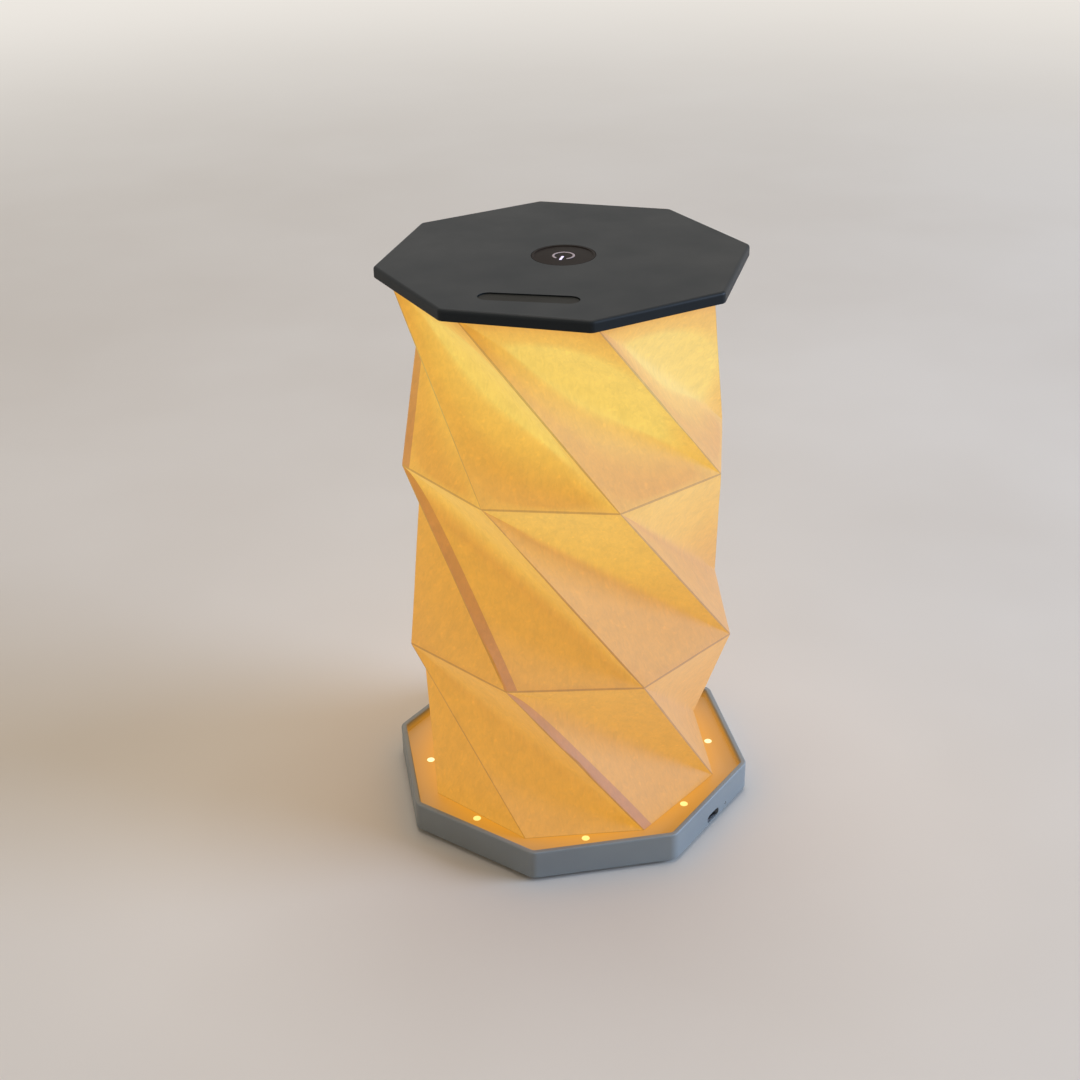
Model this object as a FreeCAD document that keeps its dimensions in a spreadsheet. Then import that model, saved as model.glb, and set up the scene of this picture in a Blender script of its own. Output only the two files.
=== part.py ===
import FreeCAD, Part
import Sketcher
import math
import os
from FreeCAD import Placement, Rotation, Vector

# Folding table lamp with a pleated paper shade: a white octagonal tray, a three-tier
# twist-folded paper tube and a dark octagonal top plate that carries the light.
#
# Millimetres. Origin at the bottom centre of the lamp, +Z up. The tray's flat sides face
# +X, -X, +Y and -Y and the four ways between them; the charging socket is in the side
# that faces halfway between +X and -Y. In the formulas 22.5 is half an octagon's step,
# in degrees.

SIDES = 8                      # tray, plate and every ring of the shade are octagons
STEP = 360.0 / SIDES           # from one corner to the next, in degrees
UP = Vector(0, 0, 1)
PORT_SIDE = -45.0              # way the side with the charging socket faces, in degrees

SIZES = {
    # tray
    "tray_across": 144.0,          # across its flat sides
    "tray_height": 13.0,           # its side wall
    "foot_gap": 1.5,               # table to the underside of the tray
    "rim_width": 2.4,
    "rim_depth": 4.1,              # rim down to the tray floor
    "floor_thickness": 1.6,
    "tray_corner_round": 5.0,
    "rim_round": 0.7,
    "tray_bevel": 0.5,
    # bottom cover and what it stands on
    "cover_thickness": 1.2,
    "cover_clearance": 0.2,
    "cover_boss_radius": 3.4,
    "cover_boss_circle": 66.0,
    "foot_radius": 6.0,
    "foot_circle": 52.0,
    "foot_recess": 0.5,
    "foot_clearance": 0.1,
    "foot_round": 0.6,
    # paper shade, from its top ring of corners to the one on the tray floor
    "paper_thickness": 0.5,
    "top_ring_radius": 66.0,
    "upper_ring_radius": 66.7,
    "lower_ring_radius": 70.0,
    "floor_ring_radius": 64.0,
    "upper_tier_height": 73.1,
    "middle_tier_height": 75.9,
    "lower_tier_height": 74.8,
    "upper_tier_turn": 52.6,
    "middle_tier_turn": 52.4,
    "lower_tier_turn": 48.6,
    "shade_turn": -5.2,            # its corners on the floor, from the tray's corners
    "flap_width": 9.0,             # end flap, folded inwards
    # rings that clamp the two end flaps
    "clamp_inset": 2.4,            # inside the paper's corners
    "clamp_width": 6.6,
    "clamp_thickness": 1.4,
    "clamp_boss_radius": 2.2,
    # closing magnets
    "magnet_radius": 1.6,
    "magnet_height": 2.0,
    "magnet_circle": 61.8,
    "magnet_clearance": 0.05,
    "magnet_wall": 0.65,
    # how the lamp folds
    "fold_turn": 109.4,            # the plate's clockwise turn on its way down
    # top plate
    "plate_across": 133.0,
    "plate_height": 4.4,
    "plate_wall": 2.0,
    "plate_skin": 1.6,
    "plate_turn": -1.8,            # its corners, from the shade's top ring
    "plate_corner_round": 3.0,
    "plate_edge_round": 1.2,
    "plate_foot_round": 0.3,
    "under_thickness": 1.2,
    "under_clearance": 0.15,
    "under_boss_radius": 2.6,
    "under_boss_circle": 38.0,
    # opal light cup under the plate, and its board
    "cup_radius": 24.6,
    "cup_drop": 2.8,
    "cup_floor": 1.2,
    "cup_round": 1.0,
    "spigot_radius": 22.5,
    "spigot_height": 1.0,
    "spigot_clearance": 0.1,
    "ledge_radius": 19.8,
    "ledge_height": 1.4,
    "board_radius": 21.0,
    "board_clearance": 0.2,
    "board_thickness": 1.0,
    "diode_circle": 15.5,
    "diode_length": 3.5,
    "diode_width": 2.8,
    "diode_height": 0.8,
    "pilot_length": 1.6,           # small diode that lights the button's sign
    "pilot_width": 0.8,
    "pilot_height": 0.5,
    "pilot_offset": 6.0,
    # power button and its switch
    "button_radius": 12.2,
    "button_clearance": 0.2,
    "button_dish": 0.3,
    "button_lip": 0.8,
    "flange_width": 1.4,
    "flange_thickness": 0.75,
    "flange_gap": 0.05,
    "switch_side": 5.2,
    "switch_height": 0.8,
    "plunger_radius": 1.3,
    "plunger_clearance": 0.1,
    "switch_floor": 0.05,
    "power_travel": 0.3,
    # dimmer strip and its ribbon
    "dimmer_length": 37.0,
    "dimmer_width": 8.0,
    "dimmer_recess": 1.0,
    "dimmer_offset": 48.6,         # axis of the lamp to the strip's middle
    "dimmer_tilt": 5.0,            # from the side of the plate that it lies beside
    "dimmer_clearance": 0.2,
    "dimmer_thickness": 0.6,
    "ribbon_width": 6.0,
    "ribbon_thickness": 0.3,
    "ribbon_inner": 16.5,
    # lead that joins the two halves, a loose coil round the axis
    "lead_radius": 0.8,
    "lead_low_circle": 20.0,
    "lead_high_circle": 10.5,
    "lead_turns": 2.5,
    "lead_stub": 8.5,              # straight run at each end
    "grommet_radius": 2.6,
    "grommet_lip": 1.0,
    "grommet_lip_height": 0.8,
    "grommet_clearance": 0.05,
    "connector_side": 5.0,
    "connector_height": 2.6,
    # the two leads inside the tray, which end on the charging board
    "plug_run": 8.0,               # straight out of the plug
    "plug_sweep": 6.0,             # sideways and on from there, and down
    "plug_reach": 9.0,
    "plug_dip": 1.0,
    "tab_place": -20.0,            # the battery's tab, along its short side
    "tab_run": 7.0,
    "tab_sweep": 5.0,
    "tab_reach": 8.0,
    "tab_dip": 0.7,
    "rear_run": 7.0,               # level run up to the board's rear edge
    "rear_lap": 4.0,               # and over it
    "base_lead_turn_in": 4.0,      # where they come in along the port side, from its middle
    "base_lead_end": 1.0,
    "battery_lead_turn_in": 9.0,
    "battery_lead_end": 8.0,
    # battery and charging
    "battery_length": 56.0,
    "battery_width": 66.0,
    "battery_height": 4.6,
    "battery_middle": -20.0,
    "battery_round": 2.0,
    "pad_thickness": 0.5,
    "pad_inset": 3.0,
    "charger_length": 20.0,
    "charger_width": 30.0,
    "charger_thickness": 0.8,
    "charger_middle": 3.0,         # along the port side, from its middle
    "charger_gap": 0.3,
    "socket_middle": 1.2,          # along the port side, from its middle
    "socket_width": 8.94,
    "socket_height": 3.2,
    "socket_length": 7.35,
    "socket_wall": 0.3,
    "socket_back": 1.2,
    "socket_set_in": 0.4,
    "socket_lift": 0.1,
    "tongue_thickness": 0.7,
    "tongue_side_gap": 0.8,
    "tongue_setback": 1.2,
    "port_clearance": 0.25,
    "light_middle": 11.8,          # along the port side, from its middle
    "light_radius": 0.7,
    "light_clearance": 0.05,
    "light_length": 7.4,
    # screws
    "screw_radius": 0.9,
    "screw_head_radius": 1.9,
    "screw_head_height": 0.9,
    "screw_clearance": 0.05,
    "cover_screw_length": 4.2,
    "clamp_screw_length": 3.6,
    "plate_screw_length": 2.1,
    "screw_end_gap": 0.1,
}

doc = FreeCAD.newDocument("paper_lamp")
sheet = doc.addObject("Spreadsheet::Sheet", "sizes")
for row, (name, number) in enumerate(SIZES.items(), start=1):
    sheet.set("A%d" % row, name)
    sheet.set("B%d" % row, str(number))
    sheet.setAlias("B%d" % row, name)
doc.recompute()

# Heights above the table, radii and angles that follow from the sizes.
LEVELS = {
    "floor_top": "sizes.foot_gap + sizes.tray_height - sizes.rim_depth",
    "floor_under": "levels.floor_top - sizes.floor_thickness",
    "rim_top": "sizes.foot_gap + sizes.tray_height",
    "cover_top": "sizes.foot_gap + sizes.cover_thickness",
    "inner_across": "sizes.tray_across - 2 * sizes.rim_width",
    "lower_ring": "levels.floor_top + sizes.lower_tier_height",
    "upper_ring": "levels.lower_ring + sizes.middle_tier_height",
    "plate_under": "levels.upper_ring + sizes.upper_tier_height",
    "plate_top": "levels.plate_under + sizes.plate_height",
    "skin_under": "levels.plate_top - sizes.plate_skin",
    "under_top": "levels.plate_under + sizes.under_thickness",
    "cup_under": "levels.plate_under - sizes.cup_drop",
    "board_under": "levels.cup_under + sizes.cup_floor + sizes.ledge_height",
    "board_top": "levels.board_under + sizes.board_thickness",
    "flange_top": "levels.skin_under - sizes.flange_gap",
    "flange_under": "levels.flange_top - sizes.flange_thickness",
    "floor_angle": "22.5 + sizes.shade_turn",
    "lower_angle": "levels.floor_angle - sizes.lower_tier_turn",
    "upper_angle": "levels.lower_angle - sizes.middle_tier_turn",
    "top_angle": "levels.upper_angle - sizes.upper_tier_turn",
    "plate_angle": "levels.top_angle + sizes.plate_turn",
    "dimmer_angle": "levels.plate_angle + 22.5",
    "low_clamp_radius": "sizes.floor_ring_radius - sizes.clamp_inset",
    "high_clamp_radius": "sizes.top_ring_radius - sizes.clamp_inset",
    "low_screw_circle": "(levels.low_clamp_radius - sizes.clamp_width / 2) * cos(22.5)",
    "high_screw_circle": "(levels.high_clamp_radius - sizes.clamp_width / 2) * cos(22.5)",
    "screw_hole": "sizes.screw_radius + sizes.screw_clearance",
    "head_hole": "sizes.screw_head_radius + sizes.screw_clearance",
    "magnet_hole": "sizes.magnet_radius + sizes.magnet_clearance",
    "grommet_hole": "sizes.grommet_radius + sizes.grommet_clearance",
    "lead_hole": "sizes.lead_radius + sizes.grommet_clearance",
    "lead_foot": "levels.floor_under - sizes.grommet_lip_height",
    "port_height": "levels.cover_top + sizes.socket_lift + sizes.socket_height / 2",
    "charger_front": "levels.inner_across / 2 - sizes.charger_gap",
    "socket_front": "sizes.tray_across / 2 - sizes.socket_set_in",
    "socket_rear": "levels.socket_front - sizes.socket_length",
    "low_middle": "levels.floor_angle + 22.5",
    "high_middle": "levels.top_angle + 22.5",
    "high_magnets": "levels.low_middle + sizes.fold_turn",
    "inner_round": "sizes.tray_corner_round - sizes.rim_width",
    "low_clamp_under": "levels.floor_top + sizes.paper_thickness",
    "high_clamp_under": "levels.plate_under - sizes.paper_thickness - sizes.clamp_thickness",
    "low_boss_under": "levels.low_clamp_under + sizes.clamp_thickness"
                      " - sizes.clamp_screw_length - sizes.screw_end_gap - sizes.magnet_wall",
    "high_boss_top": "levels.high_clamp_under + sizes.clamp_screw_length"
                     " + sizes.screw_end_gap + sizes.magnet_wall",
    "plate_inner": "sizes.plate_across - 2 * sizes.plate_wall",
    "battery_under": "levels.cover_top + sizes.pad_thickness",
    "charger_top": "levels.cover_top + sizes.charger_thickness",
    "light_height": "levels.charger_top + sizes.light_radius",
    "plunger_under": "levels.board_top + sizes.switch_floor + sizes.power_travel"
                     " + sizes.flange_gap",
    "wall_cut": "1.5 * sizes.rim_width",       # through the side wall and a little past it
    "charger_rear": "levels.charger_front - sizes.charger_length",
}
levels = doc.addObject("App::VarSet", "levels")
for name in LEVELS:
    levels.addProperty("App::PropertyFloat", name, "Levels")
for name, formula in LEVELS.items():
    levels.setExpression(name, formula)
doc.recompute()

parts = {}                     # what is exported, by name


def size(name):
    """A size of the sheet as a number."""
    return float(sheet.get(name))


def level(name):
    """A derived height, radius or angle as a number."""
    return float(getattr(levels, name))


def number(formula):
    """What a formula of sizes and levels comes to."""
    return float(levels.evalExpression(formula))


def polar(radius, angle, height=0.0):
    turn = math.radians(angle)
    return Vector(radius * math.cos(turn), radius * math.sin(turn), height)


# ------------------------------------------------------------- building a body

def new_body(name):
    body = doc.addObject("PartDesign::Body", name)
    body.Label = name
    parts[name] = body
    return body


def bind(thing, **formulas):
    for prop, formula in formulas.items():
        thing.setExpression(prop, formula)


def place(thing, x="0", y="0", z="0", turn="0"):
    """Tie the place of a feature or body to formulas; turn is about the vertical."""
    thing.Placement = Placement(Vector(0, 0, 0), Rotation(UP, 1))
    thing.setExpression("Placement.Rotation.Angle", turn)
    for axis, formula in (("x", x), ("y", y), ("z", z)):
        thing.setExpression("Placement.Base." + axis, formula)


def at_circle(radius, angle):
    """Formulas of the place on a circle round the axis."""
    return {
        "x": "(%s) * cos(%s)" % (radius, angle),
        "y": "(%s) * sin(%s)" % (radius, angle),
    }


def cylinder(body, kind, name, radius, height, **where):
    feature = body.newObject("PartDesign::%sCylinder" % kind, name)
    bind(feature, Radius=radius, Height=height)
    place(feature, **where)
    return feature


def octagon(body, kind, name, across, height, z, turn="22.5"):
    """A flat octagonal block; across is over its flat sides, turn is a corner's angle."""
    feature = body.newObject("PartDesign::%sPrism" % kind, name)
    feature.Polygon = SIDES
    bind(feature, Circumradius="(%s) / 2 / cos(22.5)" % across, Height=height)
    place(feature, z=z, turn=turn)
    return feature


def around(body, name, feature, count):
    """Repeat a feature round the lamp's axis."""
    pattern = body.newObject("PartDesign::PolarPattern", name)
    pattern.Originals = [feature]
    axis = [o for o in body.Origin.OriginFeatures if o.Role == "Z_Axis"][0]
    pattern.Axis = (axis, [""])
    pattern.Angle = 360
    pattern.Occurrences = count
    body.Tip = pattern
    return pattern


def soften(body, kind, name, chosen, amount):
    """Fillet or chamfer the edges of the body so far that the test chooses."""
    doc.recompute()
    base = body.Tip
    edges = ["Edge%d" % i for i, edge in enumerate(base.Shape.Edges, start=1) if chosen(edge)]
    feature = body.newObject("PartDesign::" + kind, name)
    feature.Base = (base, edges)
    feature.setExpression("Radius" if kind == "Fillet" else "Size", amount)
    body.Tip = feature
    return feature


def upright(edge):
    """A straight vertical edge."""
    ends = [v.Point for v in edge.Vertexes]
    return len(ends) == 2 and (ends[1] - ends[0]).cross(UP).Length < 1e-6


def level_edge(height, beyond=0.0):
    """Test for edges at one height that stay further from the axis than a distance."""
    def test(edge):
        points = [v.Point for v in edge.Vertexes]
        points.append(edge.valueAt((edge.FirstParameter + edge.LastParameter) / 2))
        flat = all(abs(p.z - height) < 1e-4 for p in points)
        return flat and min(math.hypot(p.x, p.y) for p in points) > beyond
    return test


def plane_of(body, role):
    return [o for o in body.Origin.OriginFeatures if o.Role == role][0]


def outline(body, name, points):
    """Closed sketch in the XZ plane; each corner is held by formulas of radius and height."""
    sketch = body.newObject("Sketcher::SketchObject", name)
    sketch.AttachmentSupport = (plane_of(body, "XZ_Plane"), [""])
    sketch.MapMode = "FlatFace"
    count = len(points)
    start = [Vector(number(radius), number(height), 0) for radius, height in points]
    for i in range(count):
        sketch.addGeometry(Part.LineSegment(start[i], start[(i + 1) % count]), False)
    for i in range(count):
        sketch.addConstraint(Sketcher.Constraint("Coincident", i, 2, (i + 1) % count, 1))
    for i, (radius, height) in enumerate(points):
        for kind, formula, here in (("DistanceX", radius, start[i].x),
                                    ("DistanceY", height, start[i].y)):
            index = sketch.addConstraint(Sketcher.Constraint(kind, -1, 1, i, 1, here))
            sketch.setExpression("Constraints[%d]" % index, formula)
    return sketch


def turned(body, name, points):
    """A solid of revolution about the body's own vertical axis."""
    sketch = outline(body, name + "_outline", points)
    feature = body.newObject("PartDesign::Revolution", name)
    feature.Profile = sketch
    feature.ReferenceAxis = (sketch, ["V_Axis"])
    feature.Angle = 360
    body.Tip = feature
    return feature


def pill(body, name, length, width):
    """Sketch of a round-ended slot about its own origin, long way along its X."""
    sketch = body.newObject("Sketcher::SketchObject", name)
    sketch.AttachmentSupport = (plane_of(body, "XY_Plane"), [""])
    sketch.MapMode = "FlatFace"
    arc = number(width) / 2
    half = number(length) / 2 - arc
    circle_right = Part.Circle(Vector(half, 0, 0), UP, arc)
    circle_left = Part.Circle(Vector(-half, 0, 0), UP, arc)
    sketch.addGeometry(Part.ArcOfCircle(circle_right, -math.pi / 2, math.pi / 2), False)
    sketch.addGeometry(Part.LineSegment(Vector(half, arc, 0), Vector(-half, arc, 0)), False)
    sketch.addGeometry(Part.ArcOfCircle(circle_left, math.pi / 2, 3 * math.pi / 2), False)
    sketch.addGeometry(Part.LineSegment(Vector(-half, -arc, 0), Vector(half, -arc, 0)), False)
    for first, second in ((0, 1), (1, 2), (2, 3), (3, 0)):
        sketch.addConstraint(Sketcher.Constraint("Tangent", first, 2, second, 1))
    sketch.addConstraint(Sketcher.Constraint("PointOnObject", 0, 3, -1))
    sketch.addConstraint(Sketcher.Constraint("Symmetric", 0, 3, 2, 3, -1, 1))
    sketch.addConstraint(Sketcher.Constraint("Equal", 0, 2))
    radius = sketch.addConstraint(Sketcher.Constraint("Radius", 0, arc))
    sketch.setExpression("Constraints[%d]" % radius, "(%s) / 2" % width)
    middle = sketch.addConstraint(Sketcher.Constraint("DistanceX", -1, 1, 0, 3, half))
    sketch.setExpression("Constraints[%d]" % middle, "((%s) - (%s)) / 2" % (length, width))
    return sketch


def slab(body, name, length, width, height, z, **where):
    """A block centred on its place in the horizontal plane, standing on its height z."""
    sketch = body.newObject("Sketcher::SketchObject", name + "_outline")
    sketch.AttachmentSupport = (plane_of(body, "XY_Plane"), [""])
    sketch.MapMode = "FlatFace"
    wide, deep = number(length) / 2, number(width) / 2
    corner = [Vector(-wide, -deep, 0), Vector(wide, -deep, 0),
              Vector(wide, deep, 0), Vector(-wide, deep, 0)]
    for i in range(4):
        sketch.addGeometry(Part.LineSegment(corner[i], corner[(i + 1) % 4]), False)
    for i in range(4):
        sketch.addConstraint(Sketcher.Constraint("Coincident", i, 2, (i + 1) % 4, 1))
    for i, kind in ((0, "Horizontal"), (2, "Horizontal"), (1, "Vertical"), (3, "Vertical")):
        sketch.addConstraint(Sketcher.Constraint(kind, i))
    sketch.addConstraint(Sketcher.Constraint("Symmetric", 0, 1, 1, 2, -1, 1))
    for i, kind, here, formula in ((0, "DistanceX", 2 * wide, length),
                                   (1, "DistanceY", 2 * deep, width)):
        index = sketch.addConstraint(Sketcher.Constraint(kind, i, 1, i, 2, here))
        sketch.setExpression("Constraints[%d]" % index, formula)
    shift(sketch, Rotation(), z=z, **where)
    return pad(body, name, sketch, height)


def shift(sketch, rotation, x="0", y="0", z="0"):
    sketch.AttachmentOffset = Placement(Vector(0, 0, 0), rotation)
    for axis, formula in (("x", x), ("y", y), ("z", z)):
        sketch.setExpression("AttachmentOffset.Base." + axis, formula)


def pad(body, name, sketch, length):
    feature = body.newObject("PartDesign::Pad", name)
    feature.Profile = sketch
    feature.setExpression("Length", length)
    body.Tip = feature
    return feature


def pocket(body, name, sketch, length):
    """Cut backwards from the sketch, against the way that it faces."""
    feature = body.newObject("PartDesign::Pocket", name)
    feature.Profile = sketch
    feature.setExpression("Length", length)
    body.Tip = feature
    return feature


def ring_of(body, kind, name, count, radius, height, circle, angle, z):
    """The same round boss or hole several times round the lamp's axis."""
    first = cylinder(body, kind, name, radius, height, z=z, **at_circle(circle, angle))
    return around(body, name + "_ring", first, count)


def screw_holes(body, name, count, circle, angle, z, depth, sink_z=None, sink_up=True):
    """Clearance holes with a countersink; sink_up is true where the heads are below."""
    ring_of(body, "Subtractive", name, count, "levels.screw_hole", depth, circle, angle, z)
    if sink_z is None:
        return
    cone = body.newObject("PartDesign::SubtractiveCone", name + "_sink")
    wide, narrow = "levels.head_hole", "levels.screw_hole"
    below, above = (wide, narrow) if sink_up else (narrow, wide)
    bind(cone, Radius1=below, Radius2=above, Height="sizes.screw_head_height")
    place(cone, z=sink_z, **at_circle(circle, angle))
    around(body, name + "_sinks", cone, count)


def screws(name, count, circle, angle, head_z, length, pointing_up=True):
    """Countersunk screws in one node, all round the lamp's axis."""
    body = new_body(name)
    body.AllowCompound = True
    sense = "" if pointing_up else "-"
    points = (
        ("0", "0"),
        ("sizes.screw_head_radius", "0"),
        ("sizes.screw_radius", sense + "sizes.screw_head_height"),
        ("sizes.screw_radius", sense + "(%s)" % length),
        ("0", sense + "(%s)" % length),
    )
    screw = turned(body, name + "_one", points)
    screw.Profile[0].setExpression("AttachmentOffset.Base.x", circle)
    around(body, name + "_ring", screw, count)
    place(body, z=head_z, turn=angle)


def discs(name, count, radius, height, circle, angle, z):
    """Round slugs in one node, all round the lamp's axis."""
    body = new_body(name)
    body.AllowCompound = True
    ring_of(body, "Additive", name + "_one", count, radius, height, circle, "0", "0")
    place(body, z=z, turn=angle)
    return body


# ------------------------------------------------------------- along the port side

OUTWARD = polar(1, PORT_SIDE)
ALONG = polar(1, PORT_SIDE + 90)
FACING_OUT = Rotation(ALONG, UP, OUTWARD)      # a sketch that faces out of the port side
LYING = Rotation(UP, OUTWARD)                  # an upright cylinder laid to point outwards


def at_port(outward, along, z=None):
    """Formulas of a place given outwards from the axis and along the port side."""
    where = {
        "x": "(%s) * cos(%g) - (%s) * sin(%g)" % (outward, PORT_SIDE, along, PORT_SIDE),
        "y": "(%s) * sin(%g) + (%s) * cos(%g)" % (outward, PORT_SIDE, along, PORT_SIDE),
    }
    if z is not None:
        where["z"] = z
    return where


# ------------------------------------------------------------- tray

CORNER_BOSSES = "22.5"         # cover bosses stand in every second corner
COVER_SCREWS = 4
FEET = 4
FIRST_FOOT = "45"              # its way from the axis, in degrees


def make_base_tray():
    tray = new_body("base_tray")
    octagon(tray, "Additive", "tray_block", "sizes.tray_across", "sizes.tray_height",
            "sizes.foot_gap")
    soften(tray, "Fillet", "tray_corners", upright, "sizes.tray_corner_round")
    octagon(tray, "Subtractive", "tray_recess", "levels.inner_across", "sizes.rim_depth",
            "levels.floor_top")
    soften(tray, "Fillet", "recess_corners", inside_corner("inner_across"), "levels.inner_round")
    octagon(tray, "Subtractive", "tray_hollow", "levels.inner_across",
            "levels.floor_under - sizes.foot_gap", "sizes.foot_gap")
    soften(tray, "Fillet", "hollow_corners",
           lambda e: inside_corner("inner_across")(e) and e.BoundBox.ZMax < level("floor_top") - 0.01,
           "levels.inner_round")
    soften(tray, "Fillet", "rim_edges", level_edge(level("rim_top")), "sizes.rim_round")
    outer = size("tray_across") / 2 - 0.01
    soften(tray, "Chamfer", "tray_foot", level_edge(size("foot_gap"), outer), "sizes.tray_bevel")
    ring_of(tray, "Additive", "cover_boss", COVER_SCREWS, "sizes.cover_boss_radius",
            "levels.floor_under - levels.cover_top", "sizes.cover_boss_circle", CORNER_BOSSES,
            "levels.cover_top")
    ring_of(tray, "Additive", "magnet_boss", SIDES, "levels.magnet_hole + sizes.magnet_wall",
            "sizes.magnet_height + sizes.magnet_wall - sizes.floor_thickness",
            "sizes.magnet_circle", "levels.low_middle",
            "levels.floor_top - sizes.magnet_height - sizes.magnet_wall")
    ring_of(tray, "Additive", "clamp_boss", SIDES, "sizes.clamp_boss_radius",
            "levels.floor_under - levels.low_boss_under", "levels.low_screw_circle",
            "levels.low_middle", "levels.low_boss_under")
    ring_of(tray, "Subtractive", "magnet_pocket", SIDES, "levels.magnet_hole",
            "sizes.magnet_height", "sizes.magnet_circle", "levels.low_middle",
            "levels.floor_top - sizes.magnet_height")
    screw_holes(tray, "clamp_hole", SIDES, "levels.low_screw_circle", "levels.low_middle",
                "levels.low_boss_under + sizes.magnet_wall",
                "levels.floor_top - levels.low_boss_under - sizes.magnet_wall")
    screw_holes(tray, "cover_hole", COVER_SCREWS, "sizes.cover_boss_circle", CORNER_BOSSES,
                "levels.cover_top",
                "sizes.cover_screw_length - sizes.cover_thickness + sizes.screw_end_gap")
    cylinder(tray, "Subtractive", "lead_way", "levels.grommet_hole", "sizes.floor_thickness",
             x="sizes.lead_low_circle", z="levels.floor_under")
    port = pill(tray, "port_outline", "sizes.socket_width + 2 * sizes.port_clearance",
                "sizes.socket_height + 2 * sizes.port_clearance")
    shift(port, FACING_OUT,
          **at_port("sizes.tray_across / 2", "sizes.socket_middle", "levels.port_height"))
    pocket(tray, "port_hole", port, "levels.wall_cut")
    light = cylinder(tray, "Subtractive", "light_way",
                     "sizes.light_radius + sizes.light_clearance",
                     "levels.wall_cut",
                     **at_port("sizes.tray_across / 2 - levels.wall_cut",
                               "sizes.light_middle", "levels.light_height"))
    lay_down(light)


def inside_corner(across):
    """Test for the upright edges at the sharp corners of an octagonal hollow."""
    far = level(across) / 2 / math.cos(math.radians(STEP / 2))

    def test(edge):
        if not upright(edge):
            return False
        point = edge.Vertexes[0].Point
        return abs(math.hypot(point.x, point.y) - far) < 0.01
    return test


def lay_down(feature):
    """Turn an upright cylinder to lie outwards through the port side."""
    base = feature.Placement.Base
    feature.setExpression("Placement.Rotation.Angle", None)
    feature.Placement = Placement(base, LYING)


def make_bottom_cover():
    cover = new_body("bottom_cover")
    octagon(cover, "Additive", "cover_plate", "levels.inner_across - 2 * sizes.cover_clearance",
            "sizes.cover_thickness", "sizes.foot_gap")
    soften(cover, "Fillet", "cover_corners", upright, "levels.inner_round")
    ring_of(cover, "Subtractive", "foot_seat", FEET, "sizes.foot_radius", "sizes.foot_recess",
            "sizes.foot_circle", FIRST_FOOT, "sizes.foot_gap")
    screw_holes(cover, "cover_way", COVER_SCREWS, "sizes.cover_boss_circle", CORNER_BOSSES,
                "sizes.foot_gap", "sizes.cover_thickness", "sizes.foot_gap")
    screws("cover_screws", COVER_SCREWS, "sizes.cover_boss_circle", CORNER_BOSSES,
           "sizes.foot_gap", "sizes.cover_screw_length")


def make_feet():
    feet = new_body("rubber_feet")
    feet.AllowCompound = True
    radius = "sizes.foot_radius - sizes.foot_clearance"
    top = "sizes.foot_gap + sizes.foot_recess"
    points = (
        ("0", "0"),
        (radius + " - sizes.foot_round", "0"),
        (radius, "sizes.foot_round"),
        (radius, top),
        ("0", top),
    )
    foot = turned(feet, "foot", points)
    foot.Profile[0].setExpression("AttachmentOffset.Base.x", "sizes.foot_circle")
    around(feet, "foot_ring", foot, FEET)
    place(feet, turn=FIRST_FOOT)


# ------------------------------------------------------------- inside the tray

def make_battery():
    pad_body = new_body("battery_pad")
    slab(pad_body, "pad_block", "sizes.battery_length - 2 * sizes.pad_inset",
         "sizes.battery_width - 2 * sizes.pad_inset", "sizes.pad_thickness",
         "levels.cover_top", x="sizes.battery_middle")
    cell = new_body("battery_cell")
    slab(cell, "cell_block", "sizes.battery_length", "sizes.battery_width",
         "sizes.battery_height", "levels.battery_under", x="sizes.battery_middle")
    soften(cell, "Fillet", "cell_sides", lengthwise, "sizes.battery_round")


def lengthwise(edge):
    """A straight edge along Y, as on the long sides of the battery."""
    ends = [v.Point for v in edge.Vertexes]
    return len(ends) == 2 and (ends[1] - ends[0]).cross(Vector(0, 1, 0)).Length < 1e-6


def make_charging():
    board = new_body("charge_board")
    turn = Rotation(UP, PORT_SIDE)
    sketch_place = at_port("levels.charger_front - sizes.charger_length / 2",
                           "sizes.charger_middle")
    block = slab(board, "board_block", "sizes.charger_length", "sizes.charger_width",
                 "sizes.charger_thickness", "levels.cover_top", **sketch_place)
    turn_sketch(block, turn)
    notch_place = at_port("(levels.charger_front + levels.socket_rear) / 2 + sizes.socket_wall",
                          "sizes.socket_middle")
    notch = pocket_slab(board, "socket_notch",
                        "levels.charger_front - levels.socket_rear + 2 * sizes.socket_wall",
                        "sizes.socket_width + 2 * sizes.port_clearance",
                        "sizes.charger_thickness", "levels.charger_top", **notch_place)
    turn_sketch(notch, turn)

    socket = new_body("charging_socket")
    shell = pill(socket, "shell_outline", "sizes.socket_width", "sizes.socket_height")
    shift(shell, FACING_OUT,
          **at_port("levels.socket_rear", "sizes.socket_middle", "levels.port_height"))
    pad(socket, "socket_shell", shell, "sizes.socket_length")
    mouth = pill(socket, "mouth_outline", "sizes.socket_width - 2 * sizes.socket_wall",
                 "sizes.socket_height - 2 * sizes.socket_wall")
    shift(mouth, FACING_OUT,
          **at_port("levels.socket_front", "sizes.socket_middle", "levels.port_height"))
    pocket(socket, "socket_mouth", mouth, "sizes.socket_length - sizes.socket_back")
    tongue = pill(socket, "tongue_outline",
                  "sizes.socket_width - 2 * sizes.socket_wall - 2 * sizes.tongue_side_gap",
                  "sizes.tongue_thickness")
    shift(tongue, FACING_OUT,
          **at_port("levels.socket_rear", "sizes.socket_middle", "levels.port_height"))
    pad(socket, "socket_tongue", tongue, "sizes.socket_length - sizes.tongue_setback")

    pipe = new_body("charge_light_pipe")
    rod = cylinder(pipe, "Additive", "light_rod", "sizes.light_radius", "sizes.light_length",
                   **at_port("sizes.tray_across / 2 - sizes.light_length",
                             "sizes.light_middle", "levels.light_height"))
    lay_down(rod)


def turn_sketch(feature, rotation):
    sketch = feature.Profile[0]
    sketch.AttachmentOffset = Placement(sketch.AttachmentOffset.Base, rotation)


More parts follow.
